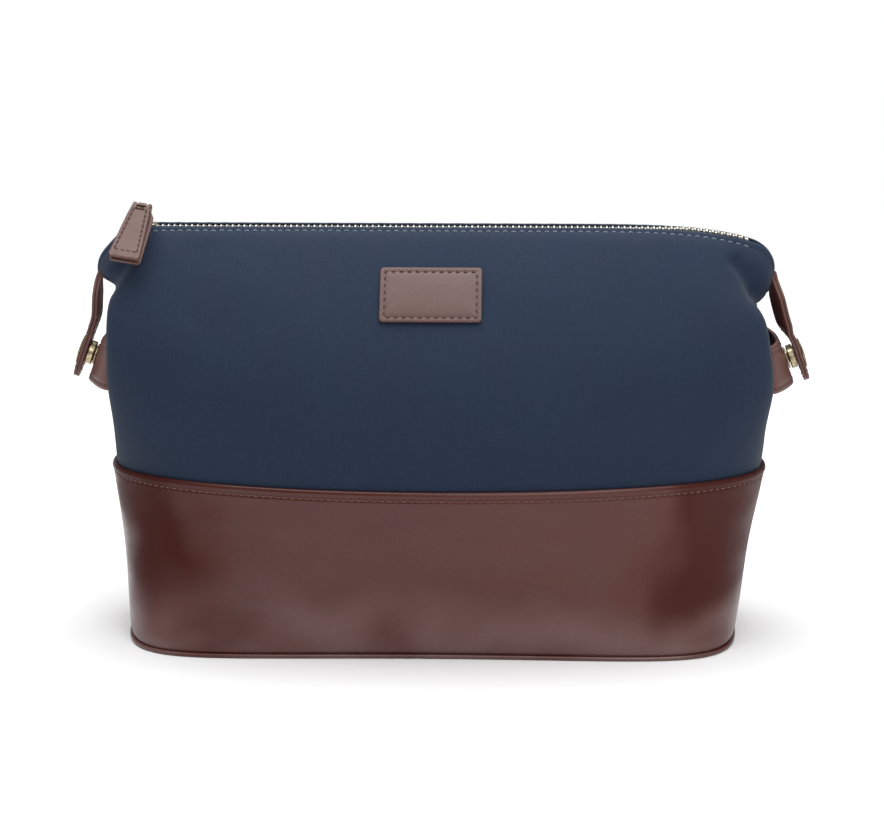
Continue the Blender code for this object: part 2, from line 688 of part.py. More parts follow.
def add_pull(finishes):
    """The leather pull: a core looped over the bar, sewn between a front and a back layer."""
    angle = math.pi + PULL_DROP
    pivot = pull_bar_point()
    place = pull_frame(pivot, angle)
    origin = lean_point(pivot)
    outer, inner = core_section()
    points = [place(-LOOP_HALF, b, c) for b, c in outer] + [place(-LOOP_HALF, b, c) for b, c in inner]
    points += [place(LOOP_HALF, b, c) for b, c in outer] + [place(LOOP_HALF, b, c) for b, c in inner]
    add_mesh("pull_core", points, ring_faces(len(outer)), finishes["leather"], origin)
    half, neck = PULL_WIDTH / 2, 4.6
    outline = [(-neck, LAYER_TOP), (neck, LAYER_TOP), (half, PULL_LENGTH - 0.8), (half - 0.8, PULL_LENGTH),
               (-half + 0.8, PULL_LENGTH), (-half, PULL_LENGTH - 0.8)]
    low = CORE_HALF + GAP
    add_prism("pull_front", outline, lambda a, b, c: place(a, b, low + c), PULL_LAYER,
              finishes["leather"], origin)
    add_prism("pull_back", outline, lambda a, b, c: place(a, b, -low - c), PULL_LAYER,
              finishes["leather"], origin)


def core_section():
    """The core in section, as (along, out): its outline, and the hole that the bar turns in."""
    turn = [math.pi / 2 + math.pi * k / 8 for k in range(9)]
    outer = [(LOOP_RADIUS * math.cos(a), LOOP_RADIUS * math.sin(a)) for a in turn]
    tail = PULL_LENGTH - 2.0
    outer += [(LAYER_TOP - 0.4, -CORE_HALF), (tail, -CORE_HALF)]
    outer += [(tail, CORE_HALF), (LAYER_TOP - 0.4, CORE_HALF)]
    turn = [math.pi / 2 + 2 * math.pi * k / len(outer) for k in range(len(outer))]
    inner = [(BAR_HOLE * math.cos(a), BAR_HOLE * math.sin(a)) for a in turn]
    return outer, inner


def lean_point(point):
    lean = pull_turn()
    crown = Vector(crown_point())
    return tuple(lean @ (Vector(point) - crown) + crown)


# ---------------------------------------------------------------- straps, snaps and side bands
def snap_axis(side):
    return Vector((side * math.cos(SNAP_TILT), 0.0, math.sin(SNAP_TILT)))


def snap_base(side, out=0.0):
    return Vector((side * BAND_X[side], 0.0, BAND_Z)) + snap_axis(side) * out


def strap_path(side):
    """The strap's middle line in the plane y = 0, from the ear's tip to its free end."""
    snap = snap_base(side, STRAP_FROM + STRAP_THICKNESS / 2)
    down = Vector((side * math.sin(SNAP_TILT), 0.0, -math.cos(SNAP_TILT)))
    start = Vector((side * STRAP_TOP[side][0], 0.0, STRAP_TOP[side][1]))
    hung = [start, start + Vector((side * -0.3, 0.0, -9.0)), start + Vector((side * -0.2, 0.0, -17.0)),
            snap - down * 8.5, snap - down * 6.5, snap, snap + down * 11.4]
    return [np.array(p) for p in hung]


def strap_hinge(side):
    start = strap_path(side)[0]
    return (start[0] - side * STRAP_THICKNESS / 2, 0.0, start[2] + 0.3)


def add_strap(side, word, finishes):
    path = strap_path(side)
    half = STRAP_THICKNESS / 2
    outer, inner = [], []
    for k, point in enumerate(path):
        before, after = path[max(k - 1, 0)], path[min(k + 1, len(path) - 1)]
        run = (after - before) / np.linalg.norm(after - before)
        away = side * np.array([-run[2], 0.0, run[0]])
        outer.append(point + away * half)
        inner.append(point - away * half)
    widths = (-STRAP_WIDTH / 2, STRAP_WIDTH / 2)
    faces_of = lambda line: np.array([[p + (0, w, 0) for w in widths] for p in line])
    strap = add_shell("strap_" + word, faces_of(outer), faces_of(inner), finishes["leather"], None,
                      strap_hinge(side))
    cut_hole(strap, snap_base(side, STRAP_FROM + half), snap_axis(side), SNAP_HOLE, 2.5)


def add_band(side, word, finishes):
    """A leather band across the end of the bag, drawn out to the snap in the middle."""
    reach = BAND_REACH[side] + [(BAND_X[side], -6.6), (BAND_X[side], 0.0)]
    reach += [(x, -y) for x, y in reach[-2::-1]]
    half = BAND_HEIGHT / 2
    outer, inner = [], []
    for k, (x, y) in enumerate(reach):
        before, after = reach[max(k - 1, 0)], reach[min(k + 1, len(reach) - 1)]
        run = Vector((side * (after[0] - before[0]), after[1] - before[1], 0.0)).normalized()
        tilt = SNAP_TILT * np.interp(abs(y), (6.6, 27.0), (1.0, 0.3))
        up = Vector((-side * math.sin(tilt), 0.0, math.cos(tilt)))
        away = run.cross(up).normalized() * side
        middle = Vector((side * x, y, BAND_Z))
        outer.append([tuple(middle + up * h) for h in (-half, 0.0, half)])
        inner.append([tuple(middle + up * h - away * BAND_THICKNESS) for h in (-half, 0.0, half)])
    band = add_shell("side_band_" + word, np.array(outer), np.array(inner), finishes["leather"])
    cut_hole(band, snap_base(side, -BAND_THICKNESS / 2), snap_axis(side), SNAP_HOLE, 2.6)


def add_snap(side, word, finishes):
    axis, brass = snap_axis(side), finishes["brass"]
    start = snap_base(side)
    flange = STUD_FROM + STUD_FLANGE
    stud = [(0, STUD_FROM), (4.6, STUD_FROM), (4.6, flange), (STUD_RADIUS - 0.4, flange),
            (STUD_RADIUS, STUD_TOP - 0.6), (STUD_RADIUS - 0.5, STUD_TOP), (0, STUD_TOP)]
    add_turned("snap_stud_" + word, stud, start, axis, brass)
    back = -BAND_THICKNESS - GAP
    post = [(0, back - 0.8), (4.4, back - 0.8), (4.4, back), (PIN_RADIUS, back), (PIN_RADIUS, 0.0),
            (0, 0.0)]
    add_turned("snap_post_" + word, post, start, axis, brass)
    hole = STUD_RADIUS + 0.45
    roof = STUD_TOP + GAP + 0.1
    socket = [(0, SOCKET_TO), (SOCKET_RADIUS, SOCKET_TO), (SOCKET_RADIUS, SOCKET_FROM), (hole, SOCKET_FROM),
              (hole, roof), (0, roof)]
    add_turned("snap_socket_" + word, socket, start, axis, brass, 20, strap_hinge(side))
    outside = STRAP_FROM + STRAP_THICKNESS + GAP
    inside = SOCKET_TO + GAP
    cap = [(0, inside), (PIN_RADIUS, inside), (PIN_RADIUS, outside), (CAP_RADIUS, outside),
           (CAP_RADIUS, outside + 0.3), (CAP_RADIUS * 0.8, outside + 0.75),
           (CAP_RADIUS * 0.4, outside + 0.95), (0, outside + 1.0)]
    add_turned("snap_cap_" + word, cap, start, axis, brass, 24, strap_hinge(side))


def add_patch(finishes):
    """The blank patch, sewn to the front lip under the zip."""
    width, thickness = PATCH_WIDTH, PATCH_THICKNESS
    us = np.array([u_at(x, 0.86) for x in np.linspace(-width / 2 + PATCH_X, width / 2 + PATCH_X, 4)])
    vs = np.linspace(v_at_height(PATCH_LOW_Z), v_at_height(PATCH_TOP_Z), 4)
    outer = layer(us, vs, GAP + thickness)
    inner = layer(us, vs, GAP)
    add_shell("leather_patch", outer, inner, finishes["leather"], None, np.array(fold_hinge()))


def main():
    clear_scene()
    finishes = all_materials()
    add_base(finishes)
    add_canvas(finishes)
    add_lining(finishes)
    add_lips(finishes)
    add_ears(finishes)
    add_zip_lips(finishes)
    add_zip_ends(finishes)
    add_slider(finishes)
    add_puller(finishes)
    add_pull(finishes)
    add_patch(finishes)
    for side, word in ((-1, "left"), (1, "right")):
        add_strap(side, word, finishes)
        add_band(side, word, finishes)
        add_snap(side, word, finishes)


main()
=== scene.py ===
"""Shaving kit bag: the visible model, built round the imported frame.

X runs along the zip, the front looks towards -Y and Z is up. Lengths are in millimetres until a mesh is made.
"""
import math

import bpy
import numpy as np
from mathutils import Matrix, Vector


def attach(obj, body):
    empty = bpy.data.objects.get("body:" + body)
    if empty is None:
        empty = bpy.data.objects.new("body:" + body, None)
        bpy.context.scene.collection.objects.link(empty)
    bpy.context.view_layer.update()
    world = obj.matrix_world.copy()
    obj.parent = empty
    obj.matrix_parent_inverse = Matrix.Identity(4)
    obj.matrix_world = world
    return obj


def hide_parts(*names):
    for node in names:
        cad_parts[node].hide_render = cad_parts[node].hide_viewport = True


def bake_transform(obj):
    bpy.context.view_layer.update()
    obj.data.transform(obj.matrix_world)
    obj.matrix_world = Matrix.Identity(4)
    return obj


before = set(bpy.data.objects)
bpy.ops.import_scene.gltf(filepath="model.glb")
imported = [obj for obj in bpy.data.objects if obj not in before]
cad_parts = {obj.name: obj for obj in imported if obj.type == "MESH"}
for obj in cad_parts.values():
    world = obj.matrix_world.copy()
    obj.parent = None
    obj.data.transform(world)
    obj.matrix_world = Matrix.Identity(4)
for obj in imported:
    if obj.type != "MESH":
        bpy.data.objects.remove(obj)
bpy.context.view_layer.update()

MM = 0.001

# ---------------------------------------------------------------- dimensions shared with the frame
GAP = 0.3
LEATHER = 1.4
CANVAS = 1.1
JOINT_Z = 70.6
LAP = 8.0
EAR_X = 126.5
LEVEL_END_X = 100.0       # the zip runs level up to here, and droops at the right beyond
SPLIT_X = 112.0           # each canvas panel is cut from the bag's end here
PANEL_RIM = 2.3
BOTTOM_PANEL = 1.6
FLOOR_Z = 3.8

TOOTH_PITCH = 2.4
CHAIN_Z = 168.1
TAPE_HALF = 0.25
TAPE_BEND = 3.92
TAPE_SAG = 1.04
TAPE_DEPTH = 2.0

SLIDER_X = -120.4
SLIDER_HALF = 1.1         # half of the space between the slider's plates
PULLER_RISE = math.radians(37.0)
PULLER_REACH = 9.6
PULL_LEAN = math.radians(8.0)
PULL_YAW = math.radians(8.0)
PULL_DROP = math.radians(43.0)
PULL_WIDTH = 13.0
PULL_LENGTH = 26.5

STRAP_WIDTH = 13.0
STRAP_THICKNESS = 2.6
SNAP_TILT = math.radians(20.0)
BAND_X = {-1: 141.6, 1: 143.2}
BAND_Z = 114.8
BAND_REACH = {-1: [(130.5, -26.5), (134.6, -24.5), (137.8, -19.0), (140.0, -12.5)],
              1: [(132.5, -26.5), (136.6, -24.5), (139.6, -19.0), (141.8, -12.5)]}
BAND_THICKNESS = 1.8
BAND_HEIGHT = 19.0
PATCH_WIDTH, PATCH_THICKNESS = 41.0, 1.2
PATCH_LOW_Z, PATCH_TOP_Z = 136.4, 155.4
PATCH_X = -2.2

# Half of the front's control net, from the middle to the side seam, one row for each level.
NET = [
    (1.9, [(0, -48), (50, -49.5), (86, -50.5), (108, -47.5), (119.5, -37.5),
           (124, -22), (124.7, -8), (124.7, 0)]),
    (7, [(0, -49), (50, -50), (87, -50), (109, -46.5), (120.5, -36.5),
           (125, -22), (126.2, -8), (126.2, 0)]),
    (26, [(0, -51.5), (50, -51), (89, -47.5), (110, -40.5), (121.5, -28.5),
           (126.4, -15.5), (127.6, -6), (127.6, 0)]),
    (50, [(0, -54.5), (50, -52.5), (91, -44.5), (112.5, -34), (123.5, -22.5),
           (129, -12), (130.6, -4.5), (130.6, 0)]),
    (70, [(0, -56.5), (49, -53.5), (92, -43), (116, -31), (128, -19.5),
           (133.5, -10), (135, -4), (135, 0)]),
    (88, [(0, -59), (49, -56), (94, -46), (118.5, -35), (131.6, -24.5),
           (135, -12.5), (133.7, -5), (132.7, 0)]),
    (106, [(0, -56.5), (49, -55), (95, -47), (121, -38.5), (137.3, -28),
           (134, -15), (127.5, -6.5), (125, 0)]),
    (123, [(0, -50), (49, -49), (94, -44.5), (119.5, -38), (137, -29),
           (131, -17.5), (122, -7.5), (118, 0)]),
    (138, [(0, -38.5, 139), (49, -38, 139), (92, -35.5, 138.5), (114, -32.5, 138), (136, -26.5, 137),
           (129.5, -17.5, 134.5), (122.5, -8.5, 134), (119.5, 0, 134.5)]),
    (153, [(0, -25, 155), (49, -25, 155), (89, -24, 154.5), (109, -22, 153.5), (121, -18, 150),
           (123.5, -14, 145), (127, -8, 141), (129.5, 0, 138.5)]),
    (165, [(0, -12, 165.6), (49, -12, 165.6), (90, -11.8, 165.4), (112, -11.4, 165), (124.5, -10.5, 161),
           (130.5, -9, 154), (135.5, -6.2, 147), (137.5, 0, 142.5)]),
    (169, [(0, -5.4, 169.6), (49, -5.4, 169.6), (90, -5.4, 169.6), (114, -5.4, 169.6), (127.5, -5.5, 169.9),
           (133.5, -2.8, 162.5), (138, -1.3, 153.5), (139.3, 0, 147)]),
]
RIGHT_DROOP = 5.5         # how much lower the right end of the zip hangs
RIGHT_SWELL = 3.0         # how much wider the right side is above the leather
EAR_OUT, EAR_IN = 2.0, 0.8   # the left ear stands out, and the right one is drawn in
BASE_SHIFT = -2.4         # sideways set of the base under the upper


# ---------------------------------------------------------------- vectors and grids
def unit(vectors):
    return vectors / np.linalg.norm(vectors, axis=-1, keepdims=True)


def as_is(points):
    return points


def to_back(points):
    return points * (1, -1, 1)


def loft_faces(rows, count):
    """Both end caps and the quads between `rows` loops of `count` points each."""
    last = (rows - 1) * count
    faces = [tuple(range(count - 1, -1, -1)), tuple(range(last, last + count))]
    for low in range(0, last, count):
        for k in range(count):
            after = (k + 1) % count
            faces.append((low + k, low + after, low + count + after, low + count + k))
    return faces


# ---------------------------------------------------------------- the bag's surface
def spline_weights(count, places):
    degree = 3
    inside = np.linspace(0, 1, count - degree + 1)
    knots = np.concatenate([np.zeros(degree), inside, np.ones(degree)])
    places = np.clip(np.asarray(places, float), 0, 1 - 1e-9)[:, None]
    weights = ((knots[:-1] <= places) & (places < knots[1:])).astype(float)
    for order in range(1, degree + 1):
        size = len(knots) - 1 - order
        left = knots[order:order + size] - knots[:size]
        right = knots[order + 1:order + 1 + size] - knots[1:1 + size]
        rise = (places - knots[:size]) / np.where(left > 0, left, np.inf)
        fall = (knots[order + 1:order + 1 + size] - places) / np.where(right > 0, right, np.inf)
        weights = rise * weights[:, :size] + fall * weights[:, 1:1 + size]
    return weights


# The last four points of the upper rows, as the soft ears really hang: higher at the left.
LEFT_ENDS = {
    138: [(136.5, -26.5, 138), (134, -17.5, 137.5), (129, -8.5, 138), (127, 0, 138.5)],
    153: [(130.5, -20.5, 148.5), (132, -15, 145.5), (133, -8, 144.5), (134, 0, 144)],
    165: [(125, -11, 160.5), (132.5, -10, 155.5), (137.5, -7, 151), (139.5, 0, 148.5)],
    169: [(126.8, -5.5, 169.6), (133.8, -2.8, 161.8), (139, -1.5, 155), (139.8, 0, 149)],
}
RIGHT_ENDS = {
    138: [(136, -26.5, 138), (132.5, -17.5, 137), (128, -8.5, 136.5), (125.5, 0, 137)],
    153: [(122, -18.5, 150), (125.5, -14.5, 144.5), (128.5, -8, 139.5), (130, 0, 137)],
    165: [(124.5, -10.5, 161), (132.5, -9.5, 155), (136.5, -6.5, 147.5), (134.5, 0, 141)],
    169: [(127.5, -5.5, 169.9), (136.5, -3.2, 166.5), (140, -1.6, 158), (136.5, 0, 147)],
}


def control_net():
    """The front's control points as an array of rows, from the left seam to the right one."""
    rows = []
    for height, half in NET:
        full = [np.array(p if len(p) == 3 else (*p, height), float) for p in half]
        right = full[:4] + [np.array(p, float) for p in RIGHT_ENDS.get(height, full[4:])]
        left = full[:4] + [np.array(p, float) for p in LEFT_ENDS.get(height, full[4:])]
        left = [(p + (left_set(p), 0, 0)) * (-1, 1, 1) for p in left[:0:-1]]
        right = [p + (right_set(p), 0, -droop(p)) for p in right]
        rows.append(left + right)
    net = np.array(rows)
    lowered = np.clip(1 - net[:, :, 2] / JOINT_Z, 0, 1)
    net[:, :, 0] += BASE_SHIFT * lowered
    return net


def left_set(point):
    """How much further out the left ear stands at a control point."""
    return EAR_OUT * np.clip((point[0] - 126.0) / 8.0, 0, 1) * np.clip((point[2] - 146.0) / 8.0, 0, 1)


def right_set(point):
    """How much further out the right side stands at a control point: fuller below, drawn in at the ear."""
    swell = np.clip((point[0] - 100.0) / 25.0, 0, 1) * np.clip(1 - abs(point[2] - 104.0) / 22.0, 0, 1)
    ear = np.clip((point[0] - 126.0) / 8.0, 0, 1) * np.clip((point[2] - 138.0) / 6.0, 0, 1)
    return RIGHT_SWELL * swell - EAR_IN * ear


def droop(point):
    """How much lower the right end hangs at a control point."""
    across = np.clip((point[0] - 106.0) / 20.0, 0, 1)
    up = np.clip((point[2] - 136.0) / 20.0, 0, 1)
    return RIGHT_DROOP * across * up


CONTROL = control_net()


def surface(us, vs):
    """Points of the canvas's outer face on the front: u from -1 to 1, v from 0 to 1 (the zip)."""
    across = spline_weights(CONTROL.shape[1], (np.asarray(us, float) + 1) / 2)
    up = spline_weights(CONTROL.shape[0], vs)
    return np.einsum("vi,ijk,uj->vuk", up, CONTROL, across)


def outward(us, vs):
    us, vs = np.asarray(us, float), np.asarray(vs, float)
    step = 1e-3
    along = surface(np.minimum(us + step, 1), vs) - surface(np.maximum(us - step, -1), vs)
    upward = surface(us, np.minimum(vs + step, 1)) - surface(us, np.maximum(vs - step, 0))
    normal = np.cross(along, upward)
    normal[:, np.abs(us) > 0.999, 1] = 0.0
    normal[:, :, 2] *= np.clip(vs / 0.15, 0, 1)[:, None]
    return unit(normal)


def layer(us, vs, offset, seam=0.0):
    """The surface moved out by `offset`, a number or one for each row and column."""
    offset = np.asarray(offset, float)
    if offset.ndim == 2:
        offset = offset[:, :, None]
    points = surface(us, vs) + offset * outward(us, vs)
    points[:, :, 1] = np.minimum(points[:, :, 1], -seam)
    return points


def v_at_height(height, u=0.0):
    places = np.linspace(0, 1, 2001)
    return float(np.interp(height, surface([u], places)[:, 0, 2], places))


def u_at(x, v=1.0):
    places = np.linspace(-1, 1, 2001)
    return np.interp(x, surface(places, [v])[0, :, 0], places)


def spaced(*stops):
    places = [stops[0]]
    for place, steps in stops[1:]:
        places += list(np.linspace(places[-1], place, steps + 1)[1:])
    return np.array(places)


def zip_drop(us):
    """How far the zip's line lies under its level stretch: only its right end hangs."""
    line = surface(us, [1.0])[0]
    level = surface([u_at(LEVEL_END_X)], [1.0])[0, 0, 2]
    return np.where(line[:, 0] > LEVEL_END_X, line[:, 2] - level, 0.0)


V_JOINT = v_at_height(JOINT_Z)
V_LAP = v_at_height(JOINT_Z - LAP)
U_SPLIT = float(u_at(SPLIT_X))    # the panels end and the bag's two ends start here
EAR_U = float(u_at(EAR_X))


# ---------------------------------------------------------------- how much of a joint's turn a point takes
LIP_FROM_Z, LIP_BEND = 108.0, 26.0     # where a lip starts to turn, and the height it takes
LIP_TAPER = 0.62                       # share of its half length over which it closes at its ends
EAR_FROM_V, EAR_BEND = 0.68, 0.19
EAR_TAPER = 0.13
STRAP_ROOT_Z, STRAP_BEND = 148.5, 5.0


def ease(share):
    share = np.clip(share, 0, 1)
    return share * share * (3 - 2 * share)


def lip_share(us, heights):
    """The mouth opens like a lens: widest in the middle, closed at the ends."""
    risen = ease((heights - LIP_FROM_Z) / LIP_BEND)
    return risen * ease((U_SPLIT - 0.01 - np.abs(us)) / (LIP_TAPER * U_SPLIT))


def ear_share(us, vs):
    """An ear turns from the split outwards, and more towards its top."""
    return ease((np.abs(us) - U_SPLIT - 0.01) / EAR_TAPER) * ease((vs - EAR_FROM_V) / EAR_BEND)


def lip_share_at(point):
    return float(lip_share(u_at(point[0]), point[2]))


def bend(piece, body, shares, parent="bag"):
    """Bakes the piece's transform into its mesh; `body` and `parent` are not used, and nothing is kept from
    `shares`.
    """
    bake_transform(piece)
    np.asarray(shares, np.float32).ravel()


# ---------------------------------------------------------------- materials
class Finish:
    """A Principled material with short names for the nodes that its patterns need."""

    def __init__(self, name, roughness=0.5, metallic=0.0, specular=0.5, sheen=0.0, sheen_roughness=0.5):
        self.material = bpy.data.materials.new(name)
        self.material.use_nodes = True
        self.tree = self.material.node_tree
        self.shader = self.tree.nodes["Principled BSDF"]
        self.shader.inputs["Roughness"].default_value = roughness
        self.shader.inputs["Metallic"].default_value = metallic
        self.shader.inputs["Specular IOR Level"].default_value = specular
        self.shader.inputs["Sheen Weight"].default_value = sheen
        self.shader.inputs["Sheen Roughness"].default_value = sheen_roughness

    def put(self, value, socket):
        if isinstance(value, bpy.types.NodeSocket):
            self.tree.links.new(value, socket)
        else:
            socket.default_value = value

    def set(self, name, value):
        self.put(value, self.shader.inputs[name])

    def uv(self):
        made = self.tree.nodes.new("ShaderNodeUVMap")
        made.uv_map = "flat"
        return made.outputs["UV"]

    def place(self):
        return self.tree.nodes.new("ShaderNodeTexCoord").outputs["Object"]

    def axis(self, vector, name):
        made = self.tree.nodes.new("ShaderNodeSeparateXYZ")
        self.put(vector, made.inputs[0])
        return made.outputs[name]

    def scaled(self, vector, scale):
        made = self.tree.nodes.new("ShaderNodeMapping")
        self.put(vector, made.inputs["Vector"])
        made.inputs["Scale"].default_value = scale
        return made.outputs["Vector"]

    def noise(self, vector, scale, detail=3.0, rough=0.5):
        made = self.tree.nodes.new("ShaderNodeTexNoise")
        self.put(vector, made.inputs["Vector"])
        made.inputs["Scale"].default_value = scale
        made.inputs["Detail"].default_value = detail
        made.inputs["Roughness"].default_value = rough
        return made.outputs[0]

    def cells(self, vector, scale):
        made = self.tree.nodes.new("ShaderNodeTexVoronoi")
        self.put(vector, made.inputs["Vector"])
        made.inputs["Scale"].default_value = scale
        return made.outputs["Distance"]

    def maths(self, operation, a, b=0.0, c=0.0):
        made = self.tree.nodes.new("ShaderNodeMath")
        made.operation = operation
        for value, socket in zip((a, b, c), made.inputs):
            self.put(value, socket)
        return made.outputs[0]

    def span(self, value, low, high, to_low=0.0, to_high=1.0):
        made = self.tree.nodes.new("ShaderNodeMapRange")
        made.interpolation_type = "SMOOTHSTEP"
        for number, given in enumerate((value, low, high, to_low, to_high)):
            self.put(given, made.inputs[number])
        return made.outputs[0]

    def mix(self, share, a, b):
        made = self.tree.nodes.new("ShaderNodeMix")
        made.data_type = "RGBA"
        self.put(share, made.inputs[0])
        for value, socket in ((a, made.inputs[6]), (b, made.inputs[7])):
            self.put((*value, 1.0) if isinstance(value, tuple) else value, socket)
        return made.outputs[2]

    def bump(self, height, distance, strength=1.0, under=None):
        made = self.tree.nodes.new("ShaderNodeBump")
        made.inputs["Strength"].default_value = strength
        made.inputs["Distance"].default_value = distance * MM
        self.put(height, made.inputs["Height"])
        if under is not None:
            self.put(under, made.inputs["Normal"])
        return made.outputs[0]


def woven(made, pitch, irregular=0.35):
    """Height of a plain weave over the flat map, from 0 to 1, with uneven threads."""
    flat = made.uv()
    sway = made.maths("MULTIPLY", made.noise(flat, 420.0, 2.0), irregular * pitch * MM)
    turn = 2 * math.pi / (pitch * MM)
    warp = made.maths("SINE", made.maths("MULTIPLY", made.maths("ADD", made.axis(flat, "X"), sway), turn))
    weft = made.maths("SINE", made.maths("MULTIPLY", made.maths("ADD", made.axis(flat, "Y"), sway), turn))
    return made.maths("MULTIPLY_ADD", made.maths("MULTIPLY", warp, weft), 0.5, 0.5)


def canvas_finish():
    made = Finish("navy_canvas", 0.85, specular=0.14, sheen=0.08, sheen_roughness=0.45)
    flat = made.uv()
    weave = woven(made, 0.8)
    slubs = made.noise(made.scaled(flat, (1.0, 0.18, 1.0)), 900.0, 2.0)
    warp_slubs = made.noise(made.scaled(flat, (0.18, 1.0, 1.0)), 900.0, 2.0)
    mottle = made.noise(flat, 28.0, 5.0, 0.6)
    colour = made.mix(made.span(mottle, 0.3, 0.7), (0.0088, 0.0172, 0.0375), (0.0128, 0.0236, 0.0480))
    colour = made.mix(made.maths("MULTIPLY", slubs, 0.45), colour, (0.027, 0.043, 0.077))
    colour = made.mix(made.maths("MULTIPLY", warp_slubs, 0.35), colour, (0.005, 0.010, 0.024))
    colour = made.mix(made.span(weave, 0.0, 1.0, 0.0, 0.30), colour, (0.028, 0.042, 0.072))
    # Painted light: the cloth's top 10 mm is painted lighter, standing in for light from above.
    top_edge_painted_light = made.span(made.axis(flat, "Y"), -0.010, -0.0005, 0.0, 0.16)
    colour = made.mix(top_edge_painted_light, colour, (0.070, 0.086, 0.118))
    made.set("Base Color", colour)
    made.set("Roughness", made.span(mottle, 0.2, 0.8, 0.74, 0.90))
    height = made.maths("MULTIPLY_ADD", slubs, 0.6, weave)
    made.set("Normal", made.bump(height, 0.10, 0.55, made.bump(mottle, 0.5, 0.25)))
    return made.material


def leather_finish(name, dark, light, roughness=0.40, grain=0.05, shaded=False):
    """Smooth leather. `shaded` adds the base's painted reflections: a darker painted reflection towards both
    ends, and a paler painted reflection of the floor at the foot.
    """
    made = Finish(name, roughness, specular=0.40)
    place = made.place()
    tone = made.noise(place, 9.0, 4.0, 0.55)
    streak = made.noise(made.scaled(place, (1.0, 1.0, 3.0)), 42.0, 5.0, 0.6)
    fine = made.noise(place, 900.0, 3.0, 0.6)
    pores = made.cells(place, 1500.0)
    colour = made.mix(made.span(tone, 0.32, 0.68), dark, light)
    colour = made.mix(made.maths("MULTIPLY", streak, 0.28), colour, tuple(1.5 * c for c in light))
    colour = made.mix(made.span(fine, 0.55, 0.75, 0.0, 0.22), colour, tuple(0.55 * c for c in dark))
    rough = made.span(streak, 0.25, 0.75, roughness - 0.06, roughness + 0.07)
    if shaded:
        colour, deep = base_painted_reflections(made, place, colour)
        rough = made.maths("MULTIPLY_ADD", deep, 0.22, rough)
    made.set("Base Color", colour)
    made.set("Roughness", rough)
    height = made.maths("MULTIPLY_ADD", fine, 0.7, made.span(pores, 0.0, 0.5))
    made.set("Normal", made.bump(height, grain, 0.5, made.bump(streak, 0.35, 0.22)))
    return made.material


def base_painted_reflections(made, place, colour):
    cloud = made.noise(place, 16.0, 2.0, 0.5)
    sway = made.maths("MULTIPLY_ADD", cloud, 0.07, -0.035)
    x = made.maths("ADD", made.axis(place, "X"), sway)
    z = made.maths("ADD", made.axis(place, "Z"), made.maths("MULTIPLY", sway, 0.8))
    # Painted dark reflection: zones towards the left and right ends are painted darker and redder, with less
    # specular and more roughness.
    left = made.maths("MULTIPLY", made.span(x, -0.131, -0.119), made.span(x, -0.085, -0.108))
    left = made.maths("MULTIPLY", left, made.span(z, 0.012, 0.040))
    right = made.maths("MULTIPLY", made.span(x, 0.094, 0.112), made.span(z, 0.010, 0.030))
    deep = made.maths("MAXIMUM", left, made.maths("MULTIPLY", right, 0.8))
    # Painted reflection of the white floor: soft patches near the foot are painted paler, with more specular.
    low = made.maths("MULTIPLY", made.span(z, 0.036, 0.008), made.span(cloud, 0.30, 0.60))
    colour = made.mix(made.maths("MULTIPLY", deep, 0.8), colour, (0.042, 0.0066, 0.0045))
    painted_floor_reflection = made.maths("MULTIPLY", low, made.maths("SUBTRACT", 1.0, deep))
    colour = made.mix(made.maths("MULTIPLY", painted_floor_reflection, 0.8), colour, (0.125, 0.055, 0.048))
    level = made.maths("MULTIPLY_ADD", deep, -0.30, 0.42)
    made.set("Specular IOR Level", made.maths("MULTIPLY_ADD", painted_floor_reflection, 0.3, level))
    return colour, deep


def edge_finish():
    """The raw, burnished edge of a leather strip."""
    made = Finish("leather_edge", 0.55, specular=0.35)
    place = made.place()
    fibres = made.noise(made.scaled(place, (1.0, 1.0, 6.0)), 600.0, 3.0)
    made.set("Base Color", made.mix(fibres, (0.075, 0.030, 0.025), (0.170, 0.090, 0.074)))
    made.set("Normal", made.bump(fibres, 0.12, 0.6))
    return made.material


def thread_finish(name, dark, light):
    made = Finish(name, 0.62, specular=0.3, sheen=0.3)
    ply = made.noise(made.place(), 1600.0, 2.0)
    made.set("Base Color", made.mix(ply, dark, light))
    made.set("Normal", made.bump(ply, 0.15, 0.7))
    return made.material


def metal_finish(name, bright, tarnish, roughness=0.30):
    made = Finish(name, roughness, metallic=1.0)
    place = made.place()
    age = made.noise(place, 260.0, 5.0, 0.65)
    scratch = made.noise(made.scaled(place, (1.0, 0.08, 1.0)), 1800.0, 2.0)
    made.set("Base Color", made.mix(made.span(age, 0.42, 0.72), bright, tarnish))
    made.set("Roughness", made.span(age, 0.3, 0.8, roughness - 0.06, roughness + 0.2))
    made.set("Normal", made.bump(scratch, 0.02, 0.5))
    return made.material


def lining_finish():
    made = Finish("twill_lining", 0.78, specular=0.25, sheen=0.25)
    flat = made.uv()
    turn = 2 * math.pi / (0.9 * MM)
    slant = made.maths("ADD", made.axis(flat, "X"), made.axis(flat, "Y"))
    twill = made.maths("MULTIPLY_ADD", made.maths("SINE", made.maths("MULTIPLY", slant, turn)), 0.5, 0.5)
    mottle = made.noise(flat, 35.0, 4.0)
    colour = made.mix(made.span(mottle, 0.3, 0.7), (0.155, 0.145, 0.130), (0.215, 0.200, 0.180))
    made.set("Base Color", made.mix(made.maths("MULTIPLY", twill, 0.25), colour, (0.10, 0.095, 0.088)))
    made.set("Normal", made.bump(twill, 0.12, 0.5, made.bump(mottle, 0.8, 0.3)))
    return made.material


